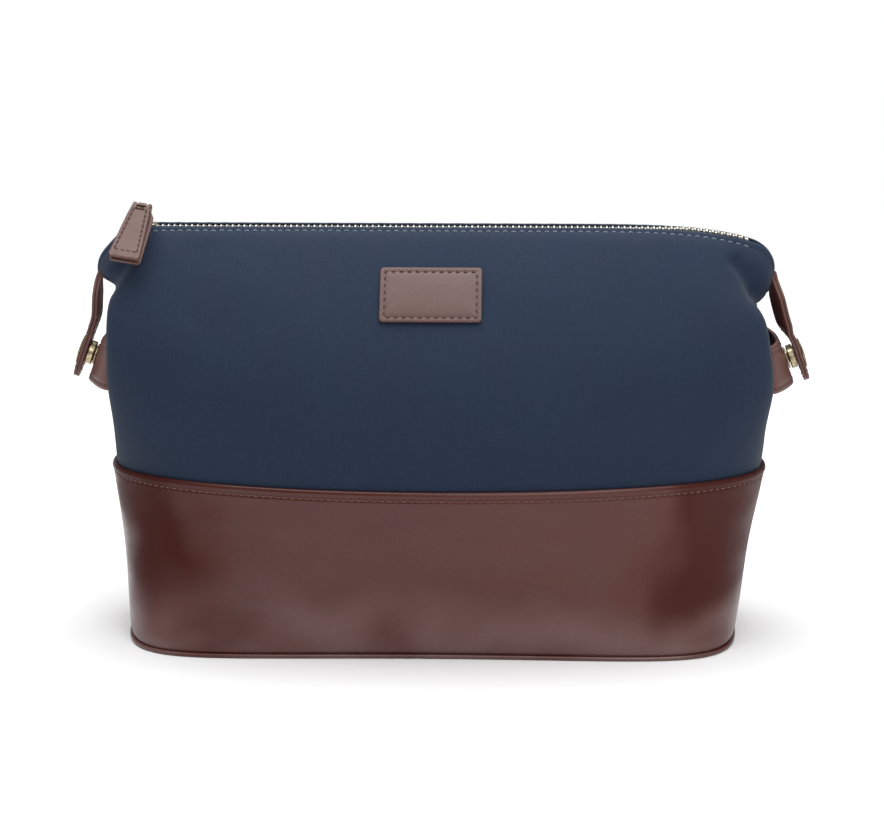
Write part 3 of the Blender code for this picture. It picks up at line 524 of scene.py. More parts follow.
def tape_finish():
    made = Finish("zip_tape", 0.85, specular=0.2, sheen=0.2)
    flat = made.uv()
    ribs = made.maths("SINE", made.maths("MULTIPLY", made.axis(flat, "Y"), 2 * math.pi / (0.55 * MM)))
    picks = made.maths("SINE", made.maths("MULTIPLY", made.axis(flat, "X"), 2 * math.pi / (0.7 * MM)))
    height = made.maths("MULTIPLY_ADD", made.maths("MULTIPLY", ribs, picks), 0.5, 0.5)
    made.set("Base Color", made.mix(height, (0.010, 0.014, 0.026), (0.030, 0.038, 0.058)))
    made.set("Normal", made.bump(height, 0.12, 0.6))
    return made.material


def board_finish():
    made = Finish("fibre_board", 0.85, specular=0.2)
    specks = made.noise(made.place(), 700.0, 4.0)
    made.set("Base Color", made.mix(specks, (0.07, 0.06, 0.05), (0.16, 0.14, 0.12)))
    made.set("Normal", made.bump(specks, 0.15, 0.5))
    return made.material


CLOTH = canvas_finish()
# The base's leather, with painted reflections (shaded=True).
HIDE = leather_finish("brown_leather", (0.052, 0.0082, 0.0050), (0.070, 0.0128, 0.0082), 0.29, shaded=True)
HIDE_PALE = leather_finish("rubbed_leather", (0.080, 0.038, 0.032), (0.115, 0.060, 0.051), 0.44, grain=0.09)
HIDE_STRAP = leather_finish("strap_leather", (0.085, 0.030, 0.024), (0.120, 0.048, 0.039), 0.46, grain=0.08)
# Painted light: a lighter, redder copy of the strap leather for the straps' inner faces, standing in for
# light they lack.
HIDE_INSIDE_PAINTED_LIGHT = leather_finish("strap_inside_painted_light", (0.150, 0.036, 0.027), (0.200, 0.056, 0.044), 0.55, grain=0.08)
EDGE = edge_finish()
THREAD_BROWN = thread_finish("brown_thread", (0.030, 0.010, 0.008), (0.075, 0.030, 0.024))
THREAD_RUST = thread_finish("rust_thread", (0.115, 0.050, 0.040), (0.200, 0.100, 0.082))
THREAD_BLUE = thread_finish("blue_thread", (0.085, 0.115, 0.155), (0.18, 0.22, 0.28))
BRASS = metal_finish("old_brass", (0.56, 0.46, 0.30), (0.13, 0.095, 0.050), 0.30)
TEETH = metal_finish("tooth_metal", (0.80, 0.78, 0.70), (0.36, 0.33, 0.27), 0.36)
LINING = lining_finish()
TAPE = tape_finish()
BOARD = board_finish()


# ---------------------------------------------------------------- mesh helpers
def make_piece(name, points, faces, finishes, uv=None, normals=None, face_finish=None, turn=True):
    """An object from points in millimetres. Faces are turned outwards; normals are per corner."""
    points = np.asarray(points, float)
    if turn:
        triangles = np.array([(f[0], f[k], f[k + 1]) for f in faces for k in range(1, len(f) - 1)])
        corners = points[triangles]
        if np.einsum("ij,ij->i", corners[:, 0], np.cross(corners[:, 1], corners[:, 2])).sum() < 0:
            faces = [tuple(reversed(face)) for face in faces]
    mesh = bpy.data.meshes.new(name)
    mesh.from_pydata((points * MM).tolist(), [], [tuple(int(i) for i in f) for f in faces])
    for finish in finishes if isinstance(finishes, list) else [finishes]:
        mesh.materials.append(finish)
    mesh.polygons.foreach_set("use_smooth", np.ones(len(mesh.polygons), bool))
    if face_finish is not None:
        mesh.polygons.foreach_set("material_index", np.asarray(face_finish, np.int32))
    loops = np.empty(len(mesh.loops), np.int32)
    mesh.loops.foreach_get("vertex_index", loops)
    if uv is not None:
        made = mesh.uv_layers.new(name="flat")
        made.data.foreach_set("uv", (np.asarray(uv, np.float32) * MM)[loops].ravel())
    if normals is not None:
        wanted = np.asarray(normals, float)[loops]
        for face in mesh.polygons:
            own = np.array(face.normal)
            for k in face.loop_indices:
                if wanted[k] @ own < 0.35:
                    wanted[k] = own
        mesh.normals_split_custom_set(wanted.tolist())
    mesh.update()
    obj = bpy.data.objects.new(name, mesh)
    bpy.context.scene.collection.objects.link(obj)
    return obj


def crisp(piece, angle):
    """Sharp edges where faces meet at more than the angle."""
    piece.data.set_sharp_from_angle(angle=math.radians(angle))
    return piece


def arc_between(high, low, away, steps):
    """Rows that round off an edge, from `high` round to `low`, standing out along `away`."""
    middle, half = (high + low) / 2, (high - low) / 2
    reach = np.linalg.norm(half, axis=-1, keepdims=True)
    away = away / np.maximum(np.linalg.norm(away, axis=-1, keepdims=True), 1e-9)
    turns = np.pi * np.arange(1, steps + 1) / (steps + 1)
    return [middle + half * np.cos(t) + away * reach * np.sin(t) for t in turns]


ROUNDING = 3


def sleeve(outer, inner):
    """A sheet's full skin: outer rows going up, a rounded edge, inner rows going down, a rounded edge."""
    top = arc_between(outer[-1], inner[-1], outer[-1] - outer[-2], ROUNDING)
    foot = arc_between(inner[0], outer[0], outer[0] - outer[1], ROUNDING)
    return np.concatenate([outer, np.array(top), inner[::-1], np.array(foot)])


def grid_normals(points):
    """Smooth normals of a skin whose rows and columns both close on themselves."""
    down = np.roll(points, -1, axis=0) - np.roll(points, 1, axis=0)
    along = np.roll(points, -1, axis=1) - np.roll(points, 1, axis=1)
    normal = np.cross(along, down)
    return normal / np.maximum(np.linalg.norm(normal, axis=2, keepdims=True), 1e-12)


def skin_faces(rows, columns, sheet_rows):
    """Quads of a skin, and caps at both ends of its columns."""
    def at(row, column):
        return (row % rows) * columns + column

    faces = [(at(r, c), at(r, c + 1), at(r + 1, c + 1), at(r + 1, c))
             for r in range(rows) for c in range(columns - 1)]
    inner = [sheet_rows + ROUNDING + sheet_rows - 1 - k for k in range(sheet_rows)]
    for column, flip in ((0, False), (columns - 1, True)):
        caps = [(at(k, column), at(k + 1, column), at(inner[k + 1], column), at(inner[k], column))
                for k in range(sheet_rows - 1)]
        caps.append(tuple(at(k, column) for k in range(sheet_rows - 1, sheet_rows + ROUNDING + 1)))
        caps.append(tuple(at(k, column) for k in range(2 * sheet_rows + ROUNDING - 1, rows + 1)))
        faces += [tuple(reversed(cap)) for cap in caps] if flip else caps
    return faces


def sheet_piece(name, skin, normals, flat, finish, sheet_rows):
    rows, columns = skin.shape[:2]
    faces = skin_faces(rows, columns, sheet_rows)
    return make_piece(name, skin.reshape(-1, 3), faces, finish, flat.reshape(-1, 2),
                      normals.reshape(-1, 3), turn=False)


def skin_rows(rows):
    """One value or row of values for each row of a skin, from those of the sheet it is made from."""
    rows = np.asarray(rows)
    top, foot = np.repeat(rows[-1:], ROUNDING, 0), np.repeat(rows[:1], ROUNDING, 0)
    return np.concatenate([rows, top, rows[::-1], foot])


def ring_pieces(us, vs, skins, flats, names, finish):
    """Cuts a loop of cloth into front, back and two ends, each with its body and share of the turn."""
    skin, flat = ring(*skins), ring(*flats)
    normals = grid_normals(skin)
    count, total = len(us), skin.shape[1]
    left, right = (int(np.argmin(np.abs(us - side * U_SPLIT))) for side in (-1, 1))
    back_from, back_to = 2 * count - 2 - right, 2 * count - 2 - left
    all_u = np.concatenate([us, us[::-1][1:-1]])
    row_v = skin_rows(vs)
    left_end = np.roll(np.arange(total), -back_to)[:total - back_to + left + 1]
    cuts = (np.arange(left, right + 1), np.arange(back_from, back_to + 1), np.arange(right, back_from + 1),
            left_end)
    for name, order, body in zip(names, cuts, ("front_lip", "back_lip", "right_ear", "left_ear")):
        own = skin[:, order]
        piece = sheet_piece(name, own, normals[:, order], flat[:, order], finish, len(vs))
        if body.endswith("lip"):
            shares = lip_share(all_u[order][None], own[:, :, 2])
        else:
            shares = ear_share(all_u[order][None], row_v[:, None]) * np.ones(own.shape[:2])
        yield piece, body, shares


def smooth_path(points, spacing):
    points = np.asarray(points, float)
    padded = np.vstack([2 * points[0] - points[1], points, 2 * points[-1] - points[-2]])
    placed = []
    for k in range(1, len(padded) - 2):
        a, b, c, d = padded[k - 1:k + 3]
        steps = max(2, int(round(np.linalg.norm(c - b) / spacing)))
        for t in np.linspace(0, 1, steps, endpoint=False):
            placed.append(0.5 * (2 * b + (c - a) * t + (2 * a - 5 * b + 4 * c - d) * t * t
                                 + (3 * b - a - 3 * c + d) * t ** 3))
    placed.append(points[-1])
    return np.array(placed)


def lengths_along(path):
    return np.concatenate([[0.0], np.cumsum(np.linalg.norm(np.diff(path, axis=0), axis=1))])


def sample(path, lengths, places):
    return np.stack([np.interp(places, lengths, path[:, k]) for k in range(path.shape[1])], axis=-1)


# The pitch, length and radius of each line's stitches.
HEM_THREAD = (3.4, 2.2, 0.36)
WALL_THREAD = (3.0, 2.2, 0.30)
PULL_THREAD = (2.5, 2.3, 0.30)
STRAP_THREAD = (2.9, 2.2, 0.24)
BAND_THREAD = (2.9, 2.2, 0.26)
BAND_END_THREAD = (2.9, 2.2, 0.30)
PATCH_THREAD = (3.2, 2.1, 0.34)


class Thread:
    """Gathers stitches into one piece. Each stitch is a short rounded cord that dips in at its ends."""

    RISE = np.array([-0.32, 0.08, 0.20, 0.22, 0.20, 0.08, -0.32])
    GIRTH = np.array([0.55, 0.95, 1.0, 1.0, 1.0, 0.95, 0.55])
    SIDES = 8

    def __init__(self):
        self.points, self.faces, self.shares = [], [], []

    def run(self, path, normals, stitch, share=None):
        """Stitches of a (pitch, length, radius) along a path."""
        pitch, length, radius = stitch
        lengths = lengths_along(path)
        count = max(1, int(round(lengths[-1] / pitch)))
        pitch = lengths[-1] / count
        for number in range(count):
            start = (number + 0.5) * pitch - length / 2
            places = start + np.linspace(0, 1, len(self.RISE)) * length
            middles = sample(path, lengths, places)
            outs = unit(sample(normals, lengths, places))
            sides = np.cross(unit(np.gradient(middles, axis=0)), outs)
            first = len(self.points) * self.SIDES * len(self.RISE)
            turns = 2 * np.pi * np.arange(self.SIDES) / self.SIDES
            ring = (np.cos(turns)[None, :, None] * sides[:, None] * 0.9
                    + np.sin(turns)[None, :, None] * outs[:, None])
            points = middles[:, None] + outs[:, None] * self.RISE[:, None, None]
            points = points + ring * (radius * self.GIRTH)[:, None, None]
            self.points.append(points.reshape(-1, 3))
            for row in range(len(self.RISE) - 1):
                low = first + row * self.SIDES
                for k in range(self.SIDES):
                    after = (k + 1) % self.SIDES
                    self.faces.append((low + k, low + after, low + self.SIDES + after, low + self.SIDES + k))
            self.faces.append(tuple(range(first + self.SIDES - 1, first - 1, -1)))
            last = first + (len(self.RISE) - 1) * self.SIDES
            self.faces.append(tuple(range(last, last + self.SIDES)))
            value = 0.0 if share is None else share(middles[len(middles) // 2])
            self.shares.append(np.full(self.SIDES * len(self.RISE), value))

    def finish(self, name, finish):
        return make_piece(name, np.concatenate(self.points), self.faces, finish)


def turned(name, profile, base, axis, finish, sides=40):
    """A smooth profile of (radius, height) turned about an axis; its ends lie on the axis."""
    axis = Vector(axis).normalized()
    across = Vector((0.0, 1.0, 0.0))
    third = axis.cross(across)
    points, rings = [], []
    for radius, height in profile:
        centre = Vector(base) + axis * height
        if radius == 0:
            rings.append([len(points)] * sides)
            points.append(tuple(centre))
            continue
        rings.append(list(range(len(points), len(points) + sides)))
        for k in range(sides):
            angle = 2 * math.pi * k / sides
            points.append(tuple(centre + radius * (math.cos(angle) * across + math.sin(angle) * third)))
    faces = []
    for low, high in zip(rings, rings[1:]):
        for k in range(sides):
            face = (low[k], low[(k + 1) % sides], high[(k + 1) % sides], high[k])
            face = tuple(dict.fromkeys(face))
            if len(face) > 2:
                faces.append(face)
    return crisp(make_piece(name, points, faces, finish), 38.0)


def rounded_box(centre, half, radius=0.25, steps=2):
    """Points and faces of a box with rounded edges, as nested loops going up."""
    profile = [(radius * (1 - math.sin(t)), -half[2] + radius * (1 - math.cos(t)))
               for t in np.linspace(0, math.pi / 2, steps + 1)]
    profile += [(inset, -z) for inset, z in reversed(profile)]
    loops = []
    for inset, z in profile:
        loop = []
        for sx, sy, start in ((1, 1, 0), (-1, 1, 1), (-1, -1, 2), (1, -1, 3)):
            for t in np.linspace(0, math.pi / 2, steps + 1):
                angle = start * math.pi / 2 + t
                x = sx * (half[0] - radius) + (radius - inset) * math.cos(angle)
                y = sy * (half[1] - radius) + (radius - inset) * math.sin(angle)
                loop.append((centre[0] + x, centre[1] + y, centre[2] + z))
        loops.append(loop)
    return np.concatenate(loops), loft_faces(len(loops), len(loops[0]))


def joined(parts):
    """Several (points, faces) as one."""
    points, faces, start = [], [], 0
    for own, own_faces in parts:
        points.append(np.asarray(own, float))
        faces += [tuple(start + i for i in face) for face in own_faces]
        start += len(own)
    return np.concatenate(points), faces


def ring_turns(sides):
    """The cosines and sines of a circle cut into equal steps."""
    turns = 2 * np.pi * np.arange(sides) / sides
    return np.cos(turns), np.sin(turns)


def tube(path, radius, closed, sides, flat_axis):
    """Points and faces of a bar that follows a path."""
    path = np.asarray(path, float)
    if closed:
        runs = unit(np.roll(path, -1, axis=0) - np.roll(path, 1, axis=0))
    else:
        runs = unit(np.gradient(path, axis=0))
    flat_axis = np.asarray(flat_axis, float)
    outs = unit(flat_axis - runs * (runs @ flat_axis)[:, None])
    cosines, sines = ring_turns(sides)
    across = np.cross(runs, outs)
    circle = cosines[None, :, None] * across[:, None] + sines[None, :, None] * outs[:, None]
    points = (path[:, None] + radius * circle).reshape(-1, 3)
    faces = loft_faces(len(path), sides)
    if closed:
        last = len(points) - sides
        joint = [(last + k, last + (k + 1) % sides, (k + 1) % sides, k) for k in range(sides)]
        faces = faces[2:] + joint
    return points, faces


# ---------------------------------------------------------------- canvas
HEM_STITCH = 2.3          # the hem's stitches run this far under its edge


def drop_from_top(us, vs):
    """Distance down the cloth from the last row, for each row and column."""
    points = surface(us, vs)
    steps = np.linalg.norm(np.diff(points, axis=0), axis=2)
    down = np.zeros(points.shape[:2])
    down[:-1] = np.cumsum(steps[::-1], axis=0)[::-1]
    return down, points


def fold(x, z, line, width, depth):
    """A soft groove (negative depth) or ridge along a line of (x, z) points."""
    near = np.full(x.shape, 1e9)
    for (ax, az), (bx, bz) in zip(line, line[1:]):
        run = np.array([bx - ax, bz - az])
        share = np.clip(((x - ax) * run[0] + (z - az) * run[1]) / (run @ run), 0, 1)
        gap = (x - ax - share * run[0]) ** 2 + (z - az - share * run[1]) ** 2
        near = np.minimum(near, gap)
    return depth * np.exp(-near / width ** 2)


def ripple(x, z, seed):
    """Low, wide unevenness, the same on each run."""
    total = np.zeros(x.shape)
    random = np.random.default_rng(seed)
    for _ in range(7):
        angle = random.uniform(0, math.pi)
        period = random.uniform(34, 80)
        phase = random.uniform(0, 2 * math.pi)
        total += np.sin(2 * math.pi * (x * math.cos(angle) + z * math.sin(angle)) / period + phase)
    return total / 7


SIDES = (("front", as_is), ("back", to_back))
CLOTH_SHIFT = {"front": 0.0, "back": 400.0}     # keeps the weave of the two panels apart
CANVAS_SEED = {"front": 5, "back": 9}
CANVAS_FOLDS = {"front": [
    ([(121, 157), (125.5, 151), (128.5, 145)], 2.8, -2.2),
    ([(131, 158), (134, 150)], 4.0, 0.9),
    ([(-126, 158), (-130, 152), (-133, 146)], 2.6, -1.6),
    ([(112, 150), (118, 128), (121, 108)], 9.0, 0.8),
    ([(-108, 158), (-116, 132), (-118, 104)], 9.0, 0.9),
    ([(-96, 162), (-100, 140)], 7.0, -0.7),
    ([(92, 160), (100, 138)], 8.0, -0.5),
    ([(-60, 92), (-10, 84), (50, 90)], 14.0, 0.7),
], "back": [
    ([(120, 160), (125, 150), (127, 139)], 3.8, -1.5),
    ([(-121, 160), (-125, 151), (-127, 140)], 3.8, -1.5),
    ([(-80, 130), (-92, 100), (-96, 80)], 9.0, -0.8),
    ([(70, 140), (84, 112), (88, 84)], 10.0, -0.8),
    ([(-20, 100), (20, 96)], 16.0, 0.8),
]}


def soft_relief(points, folds, seed, swell):
    """Wide unevenness and the folds along their lines, at each point of a grid."""
    x, z = points[:, :, 0], points[:, :, 2]
    soft = swell * ripple(x, z, seed)
    for line, width, depth in folds:
        soft = soft + fold(x, z, line, width, depth)
    return soft


def canvas_relief(us, vs, word):
    down, points = drop_from_top(us, vs)
    x, z = points[:, :, 0], points[:, :, 2]
    hem = 0.22 * np.exp(-((down - 1.0) / 0.8) ** 2) - 0.26 * np.exp(-((down - HEM_STITCH) / 0.55) ** 2)
    pucker = 0.10 * np.sin(2 * math.pi * x / 6.4) * np.exp(-((down - 3.0) / 3.5) ** 2)
    free = ease(down / 12.0) * ease((z - JOINT_Z) / 12.0)
    return hem + pucker + soft_relief(points, CANVAS_FOLDS[word], CANVAS_SEED[word], 0.55) * free


def flat_map(us, vs, shift=0.0):
    """Each point's place on the cloth as cut, in millimetres: across, and down from the top edge."""
    down, points = drop_from_top(us, vs)
    middle = int(np.argmin(np.abs(vs - 0.62)))
    across = lengths_along(points[middle])
    across = across - across[len(across) // 2] + shift
    return np.stack([np.broadcast_to(across, down.shape), -down], axis=2)


def ring(front, back):
    """Front columns left to right, then the back's right to left: one loop round the bag."""
    return np.concatenate([front, back[:, ::-1][:, 1:-1]], axis=1)


def add_canvas():
    us = spaced(-1.0, (-EAR_U, 26), (-U_SPLIT, 8), (-0.3, 34), (0.3, 44), (U_SPLIT, 34), (EAR_U, 8),
                (1.0, 26))
    vs = spaced(V_LAP, (V_JOINT, 4), (0.93, 56), (0.978, 6), (1.0, 10))
    skins, flats = [], []
    for word, turn in SIDES:
        relief = canvas_relief(us, vs, word)
        outer = layer(us, vs, relief)
        inner = layer(us, vs, relief - CANVAS, seam=0.12)
        outer[:, [0, -1], 1] = 0.0
        inner[:, [0, -1], 1] = 0.0
        skins.append(turn(sleeve(outer, inner)))
        flats.append(skin_rows(flat_map(us, vs, CLOTH_SHIFT[word])))
    names = ("canvas_front_panel", "canvas_back_panel", "canvas_end_right", "canvas_end_left")
    nodes = (("canvas_front", "lip_front"), ("canvas_back", "lip_back"), ("ear_right",), ("ear_left",))
    for (piece, body, shares), stands_for in zip(ring_pieces(us, vs, skins, flats, names, CLOTH), nodes):
        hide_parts(*stands_for)
        bend(piece, body, shares)


def line_under_edge(us, vs, points, depth):
    """The line `depth` down the cloth from its last row, and its outward directions."""
    down, _ = drop_from_top(us, vs)
    lines = []
    for grid in (points, outward(us, vs)):
        lines.append(np.array([[np.interp(-depth, -down[:, c], grid[:, c, k]) for k in range(3)]
                               for c in range(len(us))]))
    return lines


def add_hem_stitches():
    us = np.linspace(-EAR_U - 0.02, EAR_U + 0.02, 400)
    vs = np.linspace(0.93, 1.0, 60)
    for word, turn in SIDES:
        points = layer(us, vs, canvas_relief(us, vs, word))
        path, away = line_under_edge(us, vs, points, HEM_STITCH)
        thread = Thread()
        thread.run(turn(path), turn(away), HEM_THREAD, lip_share_at)
        piece = thread.finish("hem_stitches_" + word, THREAD_BLUE)
        bend(piece, word + "_lip", np.concatenate(thread.shares))


# ---------------------------------------------------------------- leather base
LEATHER_STITCH = 3.1      # the wall's stitches run this far under its edge
LEATHER_SEED = {"front": 21, "back": 33}
LEATHER_SHIFT = {"front": 0.0, "back": 500.0}
LEATHER_FOLDS = [
    ([(-118, 8), (-112, 30), (-108, 62)], 10.0, -0.9),
    ([(-88, 6), (-92, 34), (-96, 62)], 13.0, 0.8),
    ([(112, 6), (110, 30), (112, 60)], 9.0, -0.8),
    ([(86, 8), (92, 36), (98, 60)], 12.0, 0.7),
    ([(60, 30), (76, 40)], 14.0, -0.6),
    ([(-30, 14), (20, 12), (60, 16)], 12.0, 0.5),
    ([(-60, 50), (0, 56), (50, 50)], 10.0, -0.4),
]


def leather_relief(us, vs, word):
    down, points = drop_from_top(us, vs)
    z = points[:, :, 2]
    rolled = 0.45 * np.exp(-((down - 1.0) / 0.95) ** 2)
    groove = -0.34 * np.exp(-((down - LEATHER_STITCH) / 0.5) ** 2)
    foot = -0.7 * np.exp(-(z - 1.9) / 1.4)
    seam_gap = (1 - np.abs(us))[None] * 150.0
    seam = -0.55 * np.exp(-(seam_gap / 1.0) ** 2) + 0.15 * np.exp(-((seam_gap - 2.2) / 1.2) ** 2)
    free = ease((down - 3.0) / 14.0) * ease(z / 12.0)
    return rolled + groove + foot + seam + soft_relief(points, LEATHER_FOLDS, LEATHER_SEED[word], 0.5) * free


def leather_skin(us, vs, word):
    return layer(us, vs, leather_relief(us, vs, word) + GAP + LEATHER, seam=0.12)


def add_leather():
    us = spaced(-1.0, (-0.985, 5), (-0.6, 34), (0.6, 84), (0.985, 34), (1.0, 5))
    vs = spaced(0.0, (0.012, 5), (V_JOINT - 0.026, 34), (V_JOINT, 12))
    for word, turn in SIDES:
        outer = leather_skin(us, vs, word)
        inner = layer(us, vs, np.full(outer.shape[:2], GAP), seam=0.12)
        skin = turn(sleeve(outer, inner))
        flat = skin_rows(flat_map(us, vs, LEATHER_SHIFT[word]))
        faces = skin_faces(skin.shape[0], skin.shape[1], len(vs))
        piece = make_piece("leather_wall_" + word, skin.reshape(-1, 3), faces, HIDE, flat.reshape(-1, 2))
        crisp(piece, 50.0)
        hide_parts("leather_" + word)
        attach(piece, "bag")
        add_leather_stitches(word, turn)
    slab_piece("leather_base_panel", PANEL_RIM, 0.0, BOTTOM_PANEL, HIDE, 0.55, "bottom_panel")
    slab_piece("lining_floor", -CANVAS - 0.9, FLOOR_Z, 0.6, LINING, 0.25, "lining")


def add_leather_stitches(word, turn):
    us = np.linspace(-0.985, 0.985, 500)
    vs = np.linspace(V_JOINT - 0.03, V_JOINT, 40)
    path, away = line_under_edge(us, vs, leather_skin(us, vs, word), LEATHER_STITCH)
    thread = Thread()
    thread.run(turn(path), turn(away), WALL_THREAD)
    piece = thread.finish("base_stitches_" + word, THREAD_RUST)
    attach(piece, "bag")


def base_outline(offset):
    front = layer(np.linspace(-1, 1, 110), [0.0], offset)[0]
    return np.concatenate([front, to_back(front)[::-1][1:-1]])[:, :2]


def slab_piece(name, offset, low, thickness, finish, radius, node):
    """A flat panel with a rounded rim, built from outlines that go in, up and in again."""
    turns = np.linspace(0, math.pi / 2, 5)
    half = min(radius, thickness / 2 - 0.02)
    profile = [(6.0, 0.0), (half + 0.6, 0.0)]
    profile += [(half * (1 - math.sin(t)), half * (1 - math.cos(t))) for t in turns]
    profile += [(half * (1 - math.cos(t)), thickness - half * (1 - math.sin(t))) for t in turns]
    profile += [(half + 0.6, thickness), (6.0, thickness)]
    loops = []
    for inset, height in profile:
        outline = base_outline(offset - inset)
        loops.append(np.column_stack([outline, np.full(len(outline), low + height)]))
    points, faces = np.concatenate(loops), loft_faces(len(loops), len(loops[0]))
    uv = points[:, :2] + (0, 900)
    piece = make_piece(name, points, faces, finish, uv)
    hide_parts(node)
    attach(piece, "bag")


LINING_DEPTH, LINING_DRAWN_IN = 1.75, 0.75     # how far it lies inside the canvas, and how much more on top
LINING_CLOTH = 0.5
LINING_SEED = {"front": 14, "back": 15}


def add_lining():
    """The cloth inside, up to the zip tape, cut into the same pieces as the canvas."""
    us = spaced(-1.0, (-U_SPLIT, 18), (U_SPLIT, 60), (1.0, 18))
    vs = spaced(0.028, (0.90, 44), (0.95, 6))
    depth = LINING_DEPTH + LINING_DRAWN_IN * ease((vs - 0.80) / 0.10)
    down, points = drop_from_top(us, vs)
    skins, flats = [], []
    for word, turn in SIDES:
        slack = 0.35 * (1 + ripple(points[:, :, 0], points[:, :, 2], LINING_SEED[word])) * ease(down / 20)
        outer = layer(us, vs, -depth[:, None] - slack, seam=GAP)
        inner = layer(us, vs, -depth[:, None] - slack - LINING_CLOTH, seam=GAP)
        for rows in (outer, inner):
            rows[:, [0, -1], 1] = 0.0
        skins.append(turn(sleeve(outer, inner)))
        flats.append(skin_rows(flat_map(us, vs, CLOTH_SHIFT[word])))
    names = ("lining_front", "lining_back", "lining_right", "lining_left")
    for piece, body, shares in ring_pieces(us, vs, skins, flats, names, LINING):
        bend(piece, body, shares)


# ---------------------------------------------------------------- zip
TAPE_ROWS = (0.92, 0.94, 0.955, 0.963, 0.97)     # where the tape lies under the canvas
TAPE_COLUMN = 60                                  # where the tape's width is measured for its map
TAPE_OUT = (TAPE_BEND, 3.4, 2.2)                  # its rows from the bend in to the teeth


def tape_sheet(us, depth, level):
    under_canvas = layer(us, TAPE_ROWS, -depth)
    flat = np.repeat(surface(us, [1.0]), len(TAPE_OUT), axis=0)
    flat[:, :, 1] = -np.array(TAPE_OUT)[:, None]
    flat[:, :, 2] = level + TAPE_SAG * zip_drop(us)
    return np.concatenate([under_canvas, flat])


def add_tape():
    us = np.linspace(u_at(-124.0), u_at(124.0), 130)
    outer = tape_sheet(us, TAPE_DEPTH, CHAIN_Z + TAPE_HALF)
    inner = tape_sheet(us, TAPE_DEPTH + 2 * TAPE_HALF, CHAIN_Z - TAPE_HALF)
    across = surface(us, [1.0])[0, :, 0]
    down = lengths_along(outer[:, TAPE_COLUMN])
    flat = skin_rows(np.stack(np.broadcast_arrays(across[None], down[:, None]), axis=2))
    for word, turn in SIDES:
        skin = turn(sleeve(outer, inner))
        faces = skin_faces(skin.shape[0], skin.shape[1], len(outer))
        piece = make_piece("tape_" + word, skin.reshape(-1, 3), faces, TAPE, flat.reshape(-1, 2))
        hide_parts("zip_tape_" + word, "zip_tape_end_left_" + word, "zip_tape_end_right_" + word)
        bend(piece, word + "_lip", lip_share(us[None], skin[:, :, 2]))


# A tooth's sections as (out from the middle, half length, half height), from its tip to the tape.
TOOTH = [(-0.35, 0.30, 0.42), (-0.12, 0.47, 0.72), (0.5, 0.54, 0.86), (1.2, 0.54, 0.86), (1.7, 0.42, 0.74),
         (2.3, 0.50, 0.86), (2.9, 0.50, 0.80), (3.15, 0.36, 0.58)]


def squarish(turns):
    return np.sign(turns) * np.abs(turns) ** 0.6


def add_teeth():
    """Cast teeth clamped on the tape's edge; each tooth has one share of its lip's turn."""
    turns = 2 * np.pi * (np.arange(12) + 0.5) / 12
    line_x = np.linspace(-130, 130, 261)
    line_drop = zip_drop(u_at(line_x))
    for word, side, shift in (("front", -1, 0.0), ("back", 1, TOOTH_PITCH / 2)):
        parts, shares = [], []
        first, last = math.ceil((-125.0 - shift) / TOOTH_PITCH), math.floor((124.6 - shift) / TOOTH_PITCH)
        middles = np.array([shift + (k + 0.25) * TOOTH_PITCH for k in range(first, last + 1)])
        for middle, u, drop in zip(middles, u_at(middles), np.interp(middles, line_x, line_drop)):
            rows = [np.column_stack([middle + half_x * squarish(np.cos(turns)), np.full(len(turns), side * y),
                                     CHAIN_Z + 0.35 + drop + half_z * squarish(np.sin(turns))])
                    for y, half_x, half_z in TOOTH]
            faces = loft_faces(len(rows), len(turns))
            if side < 0:
                faces = [tuple(reversed(face)) for face in faces]
            parts.append((np.concatenate(rows), faces))
            shares.append(np.full(len(rows) * len(turns), float(lip_share(u, CHAIN_Z))))
        points, faces = joined(parts)
        piece = crisp(make_piece("teeth_" + word, points, faces, TEETH), 40.0)
        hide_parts("zip_teeth_" + word)
        bend(piece, word + "_lip", np.concatenate(shares))
    for word, side in (("left", -1), ("right", 1)):
        x = side * (EAR_X - 0.6)
        drop = float(zip_drop([u_at(abs(x) * side)])[0])
        points, faces = rounded_box((x, 0, CHAIN_Z + drop), (0.75, 2.6, 1.05), 0.35, 3)
        piece = make_piece("zip_stop_" + word, points, faces, TEETH)
        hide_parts("zip_end_" + word)
        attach(piece, "bag")


def plate(outline, low, high, radius=0.22):
    """Points and faces of a plate with an outline in plan and softened edges."""
    outline = np.asarray(outline, float)
    centre = outline.mean(axis=0)
    runs = unit(np.roll(outline, -1, axis=0) - np.roll(outline, 1, axis=0))
    outs = np.column_stack([runs[:, 1], -runs[:, 0]])
    if (outs * (outline - centre)).sum() < 0:
        outs = -outs
    levels = [(radius, low), (radius * 0.3, low + radius * 0.3), (0.0, low + radius), (0.0, high - radius),
              (radius * 0.3, high - radius * 0.3), (radius, high)]
    count = len(outline)
    loops = [np.column_stack([outline - outs * inset, np.full(count, z)]) for inset, z in levels]
    return np.concatenate(loops), loft_faces(len(levels), count)


def slider_outline(x):
    """A slider's plate in plan: a broad nose at the left and a waist at the right."""
    shape = [(-4.7, 2.4), (-4.4, 3.3), (-3.6, 3.9), (-2.2, 4.05), (0.0, 3.8), (2.2, 3.45), (4.1, 3.3),
             (4.6, 2.9), (4.7, 2.2)]
    right = [(x + a, b) for a, b in shape]
    return right + [(a, -b) for a, b in right[::-1]]


